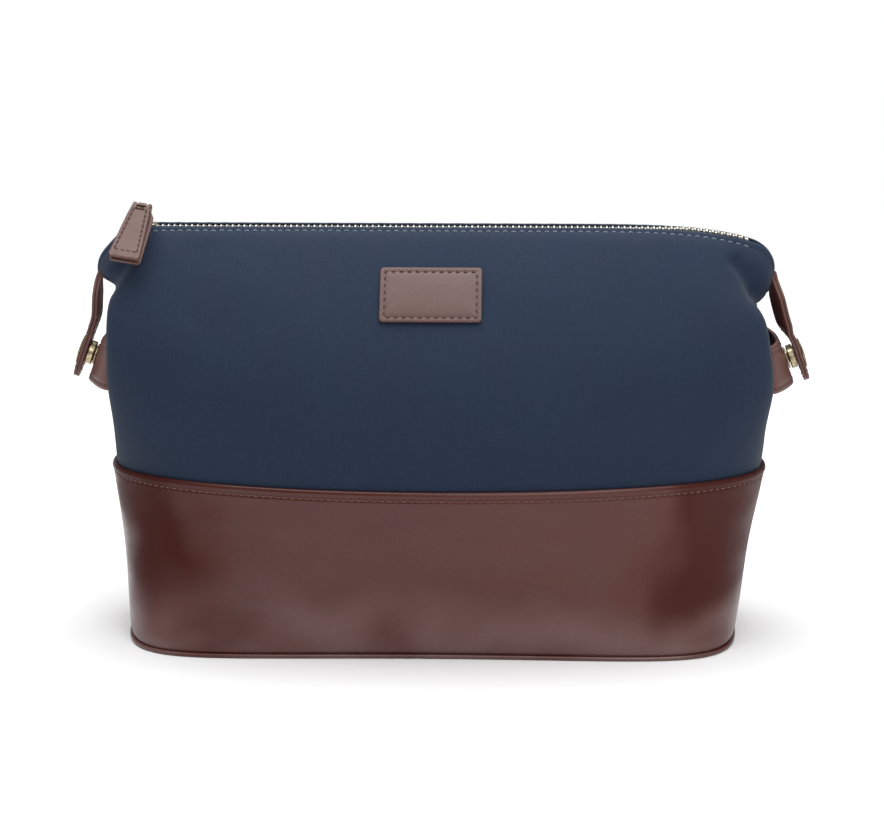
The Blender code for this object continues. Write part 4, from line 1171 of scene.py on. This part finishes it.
def add_slider():
    outline = slider_outline(SLIDER_X)
    top, under = CHAIN_Z + SLIDER_HALF, CHAIN_Z - SLIDER_HALF
    parts = [plate(outline, top, top + 0.9), plate(outline, under - 0.8, under)]
    for side in (-1, 1):
        rim = [(SLIDER_X - 3.4, side * 3.3), (SLIDER_X - 3.4, side * 3.95), (SLIDER_X + 4.2, side * 3.4),
               (SLIDER_X + 4.2, side * 2.95)]
        parts.append(plate(rim, CHAIN_Z + 0.5, top + 0.2, 0.12))
        parts.append(plate(rim, under - 0.2, CHAIN_Z - 0.5, 0.12))
    parts.append(rounded_box((SLIDER_X - 3.4, 0, CHAIN_Z), (1.2, 0.45, 1.2), 0.15))
    turns = np.linspace(math.pi, 0, 13)
    arch = [(SLIDER_X, 2.1 * math.cos(t), top + 2.0 + 1.7 * math.sin(t)) for t in turns]
    arch = [(SLIDER_X, -2.1, top + 0.5)] + arch + [(SLIDER_X, 2.1, top + 0.5)]
    parts.append(tube(arch, 0.62, closed=False, sides=12, flat_axis=(1, 0, 0)))
    points, faces = joined(parts)
    piece = crisp(make_piece("slider_body", points, faces, BRASS), 40.0)
    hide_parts("zip_slider")
    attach(piece, "slider")


def pull_frame(pivot, angle):
    """Places local (across, along, out) points: `along` runs at `angle` from +Y in the YZ plane."""
    lean = Matrix.Rotation(-PULL_YAW, 3, "Z") @ Matrix.Rotation(PULL_LEAN, 3, "Y")
    crown = Vector(crown_point())
    along = Vector((0.0, math.cos(angle), math.sin(angle)))
    out = Vector((0.0, math.sin(angle), -math.cos(angle)))

    def place(across, forward, outward_by):
        point = Vector(pivot) + along * forward + out * outward_by
        point.x += across
        return tuple(lean @ (point - crown) + crown)

    return place


def crown_point():
    return (SLIDER_X, 0.0, CHAIN_Z + SLIDER_HALF + 2.3)


def pull_bar_point():
    crown = Vector(crown_point())
    angle = math.pi - PULLER_RISE
    return tuple(crown + PULLER_REACH * Vector((0.0, math.cos(angle), math.sin(angle))))


def add_puller():
    """A bent wire link: a round eye at the crown and a bar through the pull's fold."""
    place = pull_frame(crown_point(), math.pi - PULLER_RISE)
    half = 2.15
    corner = [(0.0, -0.05), (1.6, 0.0), (2.0, 0.9), (half, 2.4), (half, PULLER_REACH - 1.0),
              (half - 0.3, PULLER_REACH - 0.15), (half - 1.0, PULLER_REACH), (0.0, PULLER_REACH)]
    loop = corner + [(-a, b) for a, b in corner[-2:0:-1]]
    path = smooth_path(np.array(loop + loop[:1]), 0.5)[:-1]
    points = np.array([place(a, b, 0.0) for a, b in path])
    axis = np.array(place(0, 0, 1.0)) - np.array(place(0, 0, 0.0))
    parts = [tube(points, 0.55, closed=True, sides=12, flat_axis=axis)]
    bar = np.array([place(a, PULLER_REACH, 0.0) for a in np.linspace(-3.9, 3.9, 9)])
    parts.append(tube(bar, 0.62, closed=False, sides=12, flat_axis=axis))
    barrel = np.array([place(a, PULLER_REACH, 0.0) for a in np.linspace(-1.95, 1.95, 7)])
    parts.append(tube(barrel, 1.15, closed=False, sides=20, flat_axis=axis))
    points, faces = joined(parts)
    piece = crisp(make_piece("puller_bar", points, faces, BRASS), 45.0)
    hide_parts("puller_link")
    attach(piece, "puller")


FOLD_RADIUS = 1.75
STRIP = 1.15              # thickness of the pull's folded strip
FOLD_STEPS = 15
SLOT_FROM = 2             # the first row of the fold with slots for the link's sides
SLOT_END = 1.6            # the slots reach this far down the back
SLOT_HALF = 2.85
WINDOW_END = 2.9          # the window in front starts at the fold and ends here
FOOT_STITCH = 3.0         # the stitches across the foot are this far from its end


def strip_path(spacing=0.5):
    """The folded strip in section, from the front's foot over the bar to the back's foot: (along, out)."""
    foot = PULL_LENGTH
    flat = np.arange(foot, 0, -spacing)
    path = [(a, FOLD_RADIUS) for a in flat]
    turns = np.linspace(0, math.pi, FOLD_STEPS)
    path += [(-FOLD_RADIUS * math.sin(t), FOLD_RADIUS * math.cos(t)) for t in turns]
    path += [(a, -FOLD_RADIUS) for a in flat[::-1]]
    return np.array(path)


def strip_half(along, out):
    """Half of the strip's width: narrow at the fold, with wider shoulders behind, and square at the foot."""
    if out > 0:
        half = np.interp(along, (0, 5.0, PULL_LENGTH), (3.75, 4.5, PULL_WIDTH / 2))
    else:
        half = np.interp(along, (0, 2.5, 5.0, PULL_LENGTH), (3.75, 5.4, 5.7, PULL_WIDTH / 2))
    foot = np.clip((along - PULL_LENGTH + 1.1) / 1.1, 0, 1)
    return half - 0.75 * foot ** 2.4


def add_pull():
    """The strip folded over the bar, with slots for the link's sides and a window in front."""
    place = pull_frame(pull_bar_point(), math.pi + PULL_DROP)
    path = strip_path()
    runs = unit(np.gradient(path, axis=0))
    outs = np.column_stack([-runs[:, 1], runs[:, 0]])
    if outs[0, 1] < 0:
        outs = -outs
    across = np.concatenate([[-1.0, -0.97, -0.90], np.linspace(-0.80, -0.56, 4)])
    inner_edge = np.array([-0.39, -0.28, -0.09, 0.09, 0.28, 0.39])
    shares = np.concatenate([across, inner_edge, -across[::-1]])
    skins = []
    for side in (1, -1):
        rows = []
        for (along, out), away in zip(path, outs):
            half = strip_half(along, out)
            row = []
            for share in shares:
                width = share * half
                if abs(share) < 0.561:
                    width = share / 0.56 * SLOT_HALF
                edge = np.clip((abs(share) - 0.9) / 0.1, 0, 1)
                pillow = side * (STRIP / 2) * (1 - 0.42 * edge ** 2)
                line = 0.30 * math.exp(-((half - abs(width) - 1.5) / 0.4) ** 2) if side > 0 else 0.0
                point = (along, out) + away * (pillow - line)
                row.append(place(width, point[0], point[1]))
            rows.append(row)
        skins.append(np.array(rows))
    outer, inner = skins
    row = np.arange(len(path) - 1)
    fold_row = row - (len(path) - FOLD_STEPS) // 2
    gap = (np.abs(shares[1:] + shares[:-1]) / 2)[None]
    slots = ((fold_row >= SLOT_FROM) & (path[:-1, 0] < SLOT_END))[:, None] & (gap > 0.28) & (gap < 0.56)
    window = ((fold_row < 0) & (path[:-1, 0] < WINDOW_END))[:, None] & (gap < 0.39)
    keep = ~(slots | window)
    points, faces, rims = shell(outer, inner, keep)
    piece = crisp(make_piece("pull_strip", points, faces, [HIDE_PALE, EDGE], face_finish=rims), 50.0)
    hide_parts("pull_front", "pull_back")
    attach(piece, "pull_tab")

    alongs = np.linspace(4.9, PULL_LENGTH - 0.9, 24)
    halves = strip_half(alongs, 1) - 0.35
    outline = np.concatenate([np.column_stack([-halves, alongs]), np.column_stack([halves, alongs])[::-1]])
    own, faces = plate(outline, -1.0, 1.0, 0.15)
    piece = crisp(make_piece("pull_filler", [place(*p) for p in own], faces, EDGE), 40.0)
    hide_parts("pull_core")
    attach(piece, "pull_tab")

    thread = Thread()
    for side in (1, -1):
        level = side * (FOLD_RADIUS + STRIP / 2 - 0.26)
        away = np.array(place(0, 0, side)) - np.array(place(0, 0, 0))
        for edge in (-1, 1):
            alongs = np.linspace(1.2 if side > 0 else 3.5, PULL_LENGTH - FOOT_STITCH, 60)
            line = np.array([place(edge * (strip_half(a, side) - 1.5), a, level) for a in alongs])
            thread.run(line, np.repeat(away[None], len(line), 0), PULL_THREAD)
        foot = strip_half(PULL_LENGTH - FOOT_STITCH, side) - 1.5
        line = np.array([place(a, PULL_LENGTH - FOOT_STITCH, level) for a in np.linspace(-foot, foot, 20)])
        thread.run(line, np.repeat(away[None], len(line), 0), PULL_THREAD)
    piece = thread.finish("pull_stitches", THREAD_BROWN)
    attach(piece, "pull_tab")


def shell(outer, inner, keep):
    """A closed shell between two grids, only where keep is set. Rim faces are marked 1."""
    rows, columns = outer.shape[:2]
    index, points, faces, rims = {}, [], [], []

    def corner(side, row, column):
        key = (side, row, column)
        if key not in index:
            index[key] = len(points)
            points.append((outer, inner)[side][row, column])
        return index[key]

    def kept(row, column):
        return 0 <= row < rows - 1 and 0 <= column < columns - 1 and keep[row, column]

    for row, column in zip(*np.nonzero(keep)):
        loop = [(row, column), (row, column + 1), (row + 1, column + 1), (row + 1, column)]
        faces.append(tuple(corner(0, *p) for p in loop))
        faces.append(tuple(corner(1, *p) for p in reversed(loop)))
        rims += [0, 0]
        beside = [(row - 1, column), (row, column + 1), (row + 1, column), (row, column - 1)]
        for k, cell in enumerate(beside):
            if not kept(*cell):
                a, b = loop[k], loop[(k + 1) % 4]
                faces.append((corner(0, *b), corner(0, *a), corner(1, *a), corner(1, *b)))
                rims.append(1)
    return np.array(points), faces, rims


# ---------------------------------------------------------------- straps, bands and snaps
def snap_axis(side):
    return Vector((side * math.cos(SNAP_TILT), 0.0, math.sin(SNAP_TILT)))


def snap_base(side, out=0.0):
    return Vector((side * BAND_X[side], 0.0, BAND_Z)) + snap_axis(side) * out


STRAP_FROM = 4.3
# x, z down the strap's middle line, from inside the ear to just above the snap.
STRAP_HANG = {-1: [(138.4, 151.0), (140.2, 146.5), (141.0, 139.0), (141.5, 132.0), (143.0, 127.2)],
              1: [(136.6, 151.0), (137.8, 146.5), (139.8, 138.0), (141.8, 131.0), (143.8, 126.0)]}
STRAP_TWIST = {-1: math.radians(2.0), 1: math.radians(15.0)}   # turned towards the front above the snap
STRAP_TIP = 6.5           # length of the rounded end
STRAP_NECK = 0.32         # share of the width where the strap is sewn into the ear


def strap_points(side):
    snap = snap_base(side, STRAP_FROM + STRAP_THICKNESS / 2)
    down = Vector((side * math.sin(SNAP_TILT), 0.0, -math.cos(SNAP_TILT)))
    hung = [(side * x, 0.0, z) for x, z in STRAP_HANG[side]]
    hung += [tuple(snap - down * 6.0), tuple(snap), tuple(snap + down * 11.4)]
    return smooth_path(np.array(hung), 0.9)


def strap_section():
    """Round the strap's section as (across, through): two layers with a groove between them at the edge."""
    half, deep = STRAP_WIDTH / 2, STRAP_THICKNESS / 2
    quarter = [(-0.62, deep), (-0.30, deep), (0.0, deep), (0.30, deep), (0.62, deep)]
    points = [(a * half, t) for a, t in quarter]
    points += [(half - 1.9, deep - 0.02), (half - 1.5, deep - 0.20), (half - 1.1, deep - 0.02)]
    points += [(half - 0.45, deep - 0.03), (half - 0.12, deep - 0.18), (half, deep - 0.5),
               (half, 0.38), (half - 0.14, 0.16), (half - 0.8, 0.0)]
    lower = [(a, -t) for a, t in points[::-1][1:]]
    right = points + lower
    full = [(a, t) for a, t in right if a > -half]
    mirror = [(-a, -t) for a, t in full if a > 0.62 * half + 0.01]
    return np.array(full + mirror)


def strap_share(heights):
    """The strap hangs from its ear at the top and turns as a whole below."""
    return ease((STRAP_ROOT_Z - heights) / STRAP_BEND)


def strap_twist(side, heights):
    return STRAP_TWIST[side] * ease((heights - 122.0) / 8.0)


def add_strap(side, word):
    path = strap_points(side)
    lengths = lengths_along(path)
    section = strap_section()
    tip_from = lengths[-1] - STRAP_TIP
    runs = unit(np.gradient(path, axis=0))
    aways = side * np.column_stack([-runs[:, 2], np.zeros(len(runs)), runs[:, 0]])
    round_off = lengths[-1] - STRAP_TIP * (1 - np.sin(np.linspace(0.12, 1.52, 12)))
    places = np.concatenate([np.linspace(0, tip_from, 60), round_off])
    middles, outs = sample(path, lengths, places), unit(sample(aways, lengths, places))
    rows = []
    for along, middle, out in zip(places, middles, outs):
        tip = np.clip((along - tip_from) / STRAP_TIP, 0, 1)
        scale = math.sqrt(max(1 - tip ** 2, 0.012))
        neck = STRAP_NECK + (1 - STRAP_NECK) * float(ease((along - 2.0) / 10.0))
        across = np.array([[-side * math.tan(strap_twist(side, middle[2])), 1, 0]])
        width = section[:, :1] * scale * neck * across
        rows.append(middle + width + section[:, 1:] * out[None] * (1 - 0.1 * tip))
    points = np.concatenate(rows)
    faces = [tuple(reversed(face)) for face in loft_faces(len(rows), len(section))]
    after = np.roll(section, -1, axis=0)
    at_edge = np.minimum(np.abs(section[:, 0]), np.abs(after[:, 0])) > STRAP_WIDTH / 2 - 0.3
    at_edge |= np.abs(section[:, 1] + after[:, 1]) < 0.7
    # Faces on the inner side (mark 2) take the lighter inner leather, which is painted light.
    marks = np.where(at_edge, 1, np.where(section[:, 1] + after[:, 1] < 0, 2, 0))
    marks = [1, 1] + list(marks) * (len(rows) - 1)
    piece = crisp(make_piece("strap_" + word + "_leather", points, faces, [HIDE_STRAP, EDGE, HIDE_INSIDE_PAINTED_LIGHT],
                             face_finish=marks), 55.0)
    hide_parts("strap_" + word)
    body_from, body_to = word + "_ear", word + "_strap"
    bend(piece, body_to, strap_share(points[:, 2]), body_from)

    thread = Thread()
    inset = STRAP_WIDTH / 2 - 1.5
    surface_at = STRAP_THICKNESS / 2 - 0.30
    span = (lengths > 13.0) & (lengths < lengths[-1] - 6.0)
    leans = -side * np.tan(strap_twist(side, path[span][:, 2]))
    across = np.column_stack([leans, np.ones(len(leans)), np.zeros(len(leans))])
    turns = np.linspace(-math.pi / 2, math.pi / 2, 24)
    tip_places = tip_from + 0.3 + (STRAP_TIP - 1.7) * np.cos(turns)
    tip_aways = sample(aways, lengths, tip_places)
    for face in (1, -1):
        for edge in (-1, 1):
            line = path[span] + aways[span] * face * surface_at + edge * inset * across
            thread.run(line, aways[span] * face, STRAP_THREAD, lambda p: float(strap_share(p[2])))
        around = sample(path, lengths, tip_places) + tip_aways * face * surface_at
        around[:, 1] += inset * np.sin(turns)
        thread.run(around, tip_aways * face, STRAP_THREAD, lambda p: 1.0)
    piece = thread.finish("strap_stitches_" + word, THREAD_BROWN)
    bend(piece, body_to, np.concatenate(thread.shares), body_from)


def band_rows(side):
    """The band's middle line, its up direction and its outward direction at each step."""
    reach = BAND_REACH[side] + [(BAND_X[side], -6.6), (BAND_X[side], 0.0)]
    reach += [(x, -y) for x, y in reach[-2::-1]]
    path = smooth_path(np.array([(side * x, y, BAND_Z) for x, y in reach]), 0.9)
    runs = unit(np.gradient(path, axis=0))
    tilt = SNAP_TILT * np.interp(np.abs(path[:, 1]), (6.6, 27.0), (1.0, 0.3))
    ups = np.column_stack([-side * np.sin(tilt), np.zeros(len(tilt)), np.cos(tilt)])
    return path, ups, unit(side * np.cross(runs, ups))


def add_band(side, word):
    path, ups, aways = band_rows(side)
    half = BAND_HEIGHT / 2
    heights = np.concatenate([[-half, -half + 0.25, -half + 0.7, -half + 1.5, -half + 2.0, -half + 2.5],
                              np.linspace(-half + 3.6, half - 3.6, 8),
                              [half - 2.5, half - 2.0, half - 1.5, half - 0.7, half - 0.25, half]])
    edge = half - np.abs(heights)
    rounded = np.exp(-(edge / 0.28) ** 2)
    dip = -0.22 * np.exp(-((edge - 2.0) / 0.4) ** 2) - 0.30 * rounded
    level = path[None] + ups[None] * heights[:, None, None]
    outer = level + aways[None] * dip[:, None, None]
    inner = level - aways[None] * (BAND_THICKNESS - 0.30 * rounded)[:, None, None]
    skin = sleeve(outer, inner)
    rows, columns = skin.shape[:2]
    faces = skin_faces(rows, columns, len(heights))
    row = np.arange(rows * (columns - 1)) // (columns - 1)
    top_rim = (row > len(heights) - 2) & (row < len(heights) + ROUNDING)
    rim = top_rim | (row >= 2 * len(heights) + ROUNDING - 1)
    marks = list(rim.astype(int)) + [1] * (len(faces) - len(rim))
    piece = crisp(make_piece("band_" + word + "_leather", skin.reshape(-1, 3), faces, [HIDE_STRAP, EDGE],
                             face_finish=marks), 55.0)
    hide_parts("side_band_" + word)
    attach(piece, "bag")
    thread = Thread()
    for height in (-half + 2.0, half - 2.0):
        line = path + ups * height - aways * 0.22
        thread.run(line, aways, BAND_THREAD)
    for end in (2, len(path) - 3):
        line = path[end] + ups[end] * np.linspace(-half + 3.4, half - 3.4, 12)[:, None]
        thread.run(line, np.repeat(aways[end][None], 12, 0), BAND_END_THREAD)
    piece = thread.finish("band_stitches_" + word, THREAD_BROWN)
    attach(piece, "bag")


def add_snap(side, word):
    axis, start = snap_axis(side), snap_base(side)
    stud = [(0, 0.3), (4.3, 0.3), (4.6, 0.5), (4.6, 0.8), (4.3, 1.0), (2.6, 1.1), (1.75, 1.3), (1.7, 2.0),
            (2.05, 2.4), (2.1, 2.6), (1.8, 2.9), (1.3, 3.0), (0, 3.0)]
    post = [(0, -2.9), (3.9, -2.9), (4.4, -2.7), (4.4, -2.3), (4.2, -2.1), (1.2, -2.1), (1.2, 0.0), (0, 0.0)]
    socket = [(0, 4.0), (4.6, 4.0), (5.0, 3.7), (5.0, 1.8), (4.7, 1.45), (3.6, 1.4), (3.3, 1.7), (2.9, 1.7),
              (2.6, 1.45), (2.5, 2.2), (2.5, 3.4), (0, 3.4)]
    outside = STRAP_FROM + STRAP_THICKNESS
    cap = [(0, 4.3), (1.2, 4.3), (1.2, outside + 0.2), (5.8, outside + 0.1), (6.15, outside + 0.25),
           (6.2, outside + 0.45), (5.9, outside + 0.75), (5.3, outside + 0.82), (5.0, outside + 0.72),
           (4.7, outside + 0.82), (3.6, outside + 1.02), (2.2, outside + 1.15), (1.0, outside + 1.2),
           (0, outside + 1.22)]
    strap = word + "_strap"
    for name, profile, body in (("snap_stud_", stud, "bag"), ("snap_post_", post, "bag"),
                                ("snap_socket_", socket, strap), ("snap_cap_", cap, strap)):
        piece = turned(name + word + "_metal", profile, start, axis, BRASS, 48)
        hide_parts(name + word)
        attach(piece, body)


# ---------------------------------------------------------------- patch
def add_patch():
    """The blank patch: rounded corners, a softly raised middle and a line of stitches."""
    v_low, v_high = v_at_height(PATCH_LOW_Z), v_at_height(PATCH_TOP_Z)
    u_low, u_high = u_at(PATCH_X - PATCH_WIDTH / 2, 0.86), u_at(PATCH_X + PATCH_WIDTH / 2, 0.86)
    height = lengths_along(surface([0.0], np.linspace(v_low, v_high, 50))[:, 0])[-1]
    half = np.array([PATCH_WIDTH / 2, height / 2])

    def on_cloth(pairs, outs):
        placed, aways = [], []
        for (a, b), out in zip(pairs, outs):
            u = u_low + (u_high - u_low) * (a + half[0]) / (2 * half[0])
            v = v_low + (v_high - v_low) * (b + half[1]) / (2 * half[1])
            away = outward([u], [v])[0, 0]
            placed.append(surface([u], [v])[0, 0] + away * out)
            aways.append(away)
        return np.array(placed), np.array(aways)

    radius = 1.6
    corner_turns = np.linspace(0, math.pi / 2, 7)

    def outline(inset):
        loop = []
        r = max(radius - inset, 0.25)
        for sx, sy, start in ((1, 1, 0), (-1, 1, 1), (-1, -1, 2), (1, -1, 3)):
            for t in corner_turns:
                angle = start * math.pi / 2 + t
                loop.append((sx * (half[0] - inset - r) + r * math.cos(angle),
                             sy * (half[1] - inset - r) + r * math.sin(angle)))
        full = []
        for k, point in enumerate(loop):
            after = loop[(k + 1) % len(loop)]
            gap = math.dist(point, after)
            steps = 12 if gap > 3 else 1
            full += [tuple(np.array(point) + (np.array(after) - point) * s / steps) for s in range(steps)]
        return full

    top = GAP + PATCH_THICKNESS
    profile = [(0.6, 0.25), (0.15, 0.35), (0.0, 0.65), (0.0, top - 0.35), (0.15, top - 0.1), (0.5, top),
               (1.3, top), (1.75, top - 0.12), (2.05, top - 0.24), (2.35, top - 0.12), (2.9, top + 0.02),
               (4.5, top + 0.12), (7.0, top + 0.18), (9.3, top + 0.2)]
    loops = [on_cloth(outline(inset), np.full(len(outline(inset)), out))[0] for inset, out in profile]
    points, faces = np.concatenate(loops), loft_faces(len(loops), len(loops[0]))
    piece = make_piece("patch_leather", points, faces, HIDE_PALE)
    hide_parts("leather_patch")
    bend(piece, "front_lip", np.array([lip_share_at(p) for p in points]))
    loop = outline(2.05)
    path, aways = on_cloth(loop + loop[:1], np.full(len(loop) + 1, top - 0.20))
    thread = Thread()
    thread.run(path, aways, PATCH_THREAD, lip_share_at)
    piece = thread.finish("patch_stitches", THREAD_BROWN)
    bend(piece, "front_lip", np.concatenate(thread.shares))


# ---------------------------------------------------------------- studio
CAMERA_REACH, CAMERA_HEIGHT = 1.1, 0.342     # in metres
CAMERA_SIDE = 0.00145
CAMERA_ORBIT, CAMERA_PITCH = math.radians(1.5), math.radians(77.1)
CAMERA_LENS = 110.4
FLOOR_SIZE, FLOOR_FORWARD = 2.6, 0.45


def area_light(name, place, target, size, power):
    data = bpy.data.lights.new(name, "AREA")
    data.size = size
    data.energy = power
    lamp = bpy.data.objects.new(name, data)
    lamp.location = place
    lamp.rotation_mode = "QUATERNION"
    lamp.rotation_quaternion = (Vector(place) - Vector(target)).to_track_quat("Z", "Y")
    bpy.context.scene.collection.objects.link(lamp)


def add_studio():
    scene = bpy.context.scene
    world = bpy.data.worlds.new("studio")
    scene.world = world
    world.use_nodes = True
    tree = world.node_tree
    shown = tree.nodes["Background"]
    shown.inputs["Color"].default_value = (1, 1, 1, 1)
    shown.inputs["Strength"].default_value = 1.0
    lighting = tree.nodes.new("ShaderNodeBackground")
    lighting.inputs["Color"].default_value = (1, 1, 1, 1)
    lighting.inputs["Strength"].default_value = 0.30
    path = tree.nodes.new("ShaderNodeLightPath")
    pick = tree.nodes.new("ShaderNodeMixShader")
    tree.links.new(path.outputs["Is Camera Ray"], pick.inputs[0])
    tree.links.new(lighting.outputs[0], pick.inputs[1])
    tree.links.new(shown.outputs[0], pick.inputs[2])
    tree.links.new(pick.outputs[0], tree.nodes["World Output"].inputs["Surface"])

    bpy.ops.mesh.primitive_plane_add(size=FLOOR_SIZE, location=(0, 0, -0.0001))
    floor = bpy.context.object
    for corner in floor.data.vertices:
        corner.co.y -= FLOOR_FORWARD
    floor.name = "studio_floor"
    made = Finish("studio_floor", 0.9, specular=0.1)
    # Painted shadow: the floor is painted darker near the bag, a soft halo round its base that also dims the
    # floor's reflection in the bag.
    flat = made.scaled(made.place(), (1.0, 1.0, 0.0))
    painted_shadow_reach = made.tree.nodes.new("ShaderNodeVectorMath")
    painted_shadow_reach.operation = "LENGTH"
    made.put(made.scaled(flat, (0.85, 1.5, 1.0)), painted_shadow_reach.inputs[0])
    made.set("Base Color", made.mix(made.span(painted_shadow_reach.outputs["Value"], 0.10, 0.30), (0.82, 0.82, 0.825),
                                    (0.95, 0.95, 0.95)))
    floor.data.materials.append(made.material)

    area_light("top_soft", (0.0, 0.1, 1.3), (0, 0, 0.05), 1.6, 30.0)
    area_light("front_soft", (0.5, -1.5, 1.1), (0, 0, 0.08), 1.0, 10.0)
    scene.view_settings.view_transform = "Standard"

    camera = bpy.data.cameras.new("camera")
    camera.sensor_width = 36.0
    camera.lens = CAMERA_LENS
    camera.clip_start, camera.clip_end = 0.05, 20.0
    holder = bpy.data.objects.new("camera", camera)
    holder.location = (CAMERA_SIDE + CAMERA_REACH * math.sin(CAMERA_ORBIT),
                       -CAMERA_REACH * math.cos(CAMERA_ORBIT), CAMERA_HEIGHT)
    holder.rotation_euler = (CAMERA_PITCH, 0.0, CAMERA_ORBIT)
    scene.collection.objects.link(holder)
    scene.camera = holder


def main():
    add_studio()
    add_canvas()
    add_hem_stitches()
    add_leather()
    add_lining()
    add_tape()
    add_teeth()
    add_slider()
    add_puller()
    add_pull()
    add_patch()
    for side, word in ((-1, "left"), (1, "right")):
        add_strap(side, word)
        add_band(side, word)
        add_snap(side, word)
    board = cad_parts["base_board"]
    board.data.materials.clear()
    board.data.materials.append(BOARD)


main()
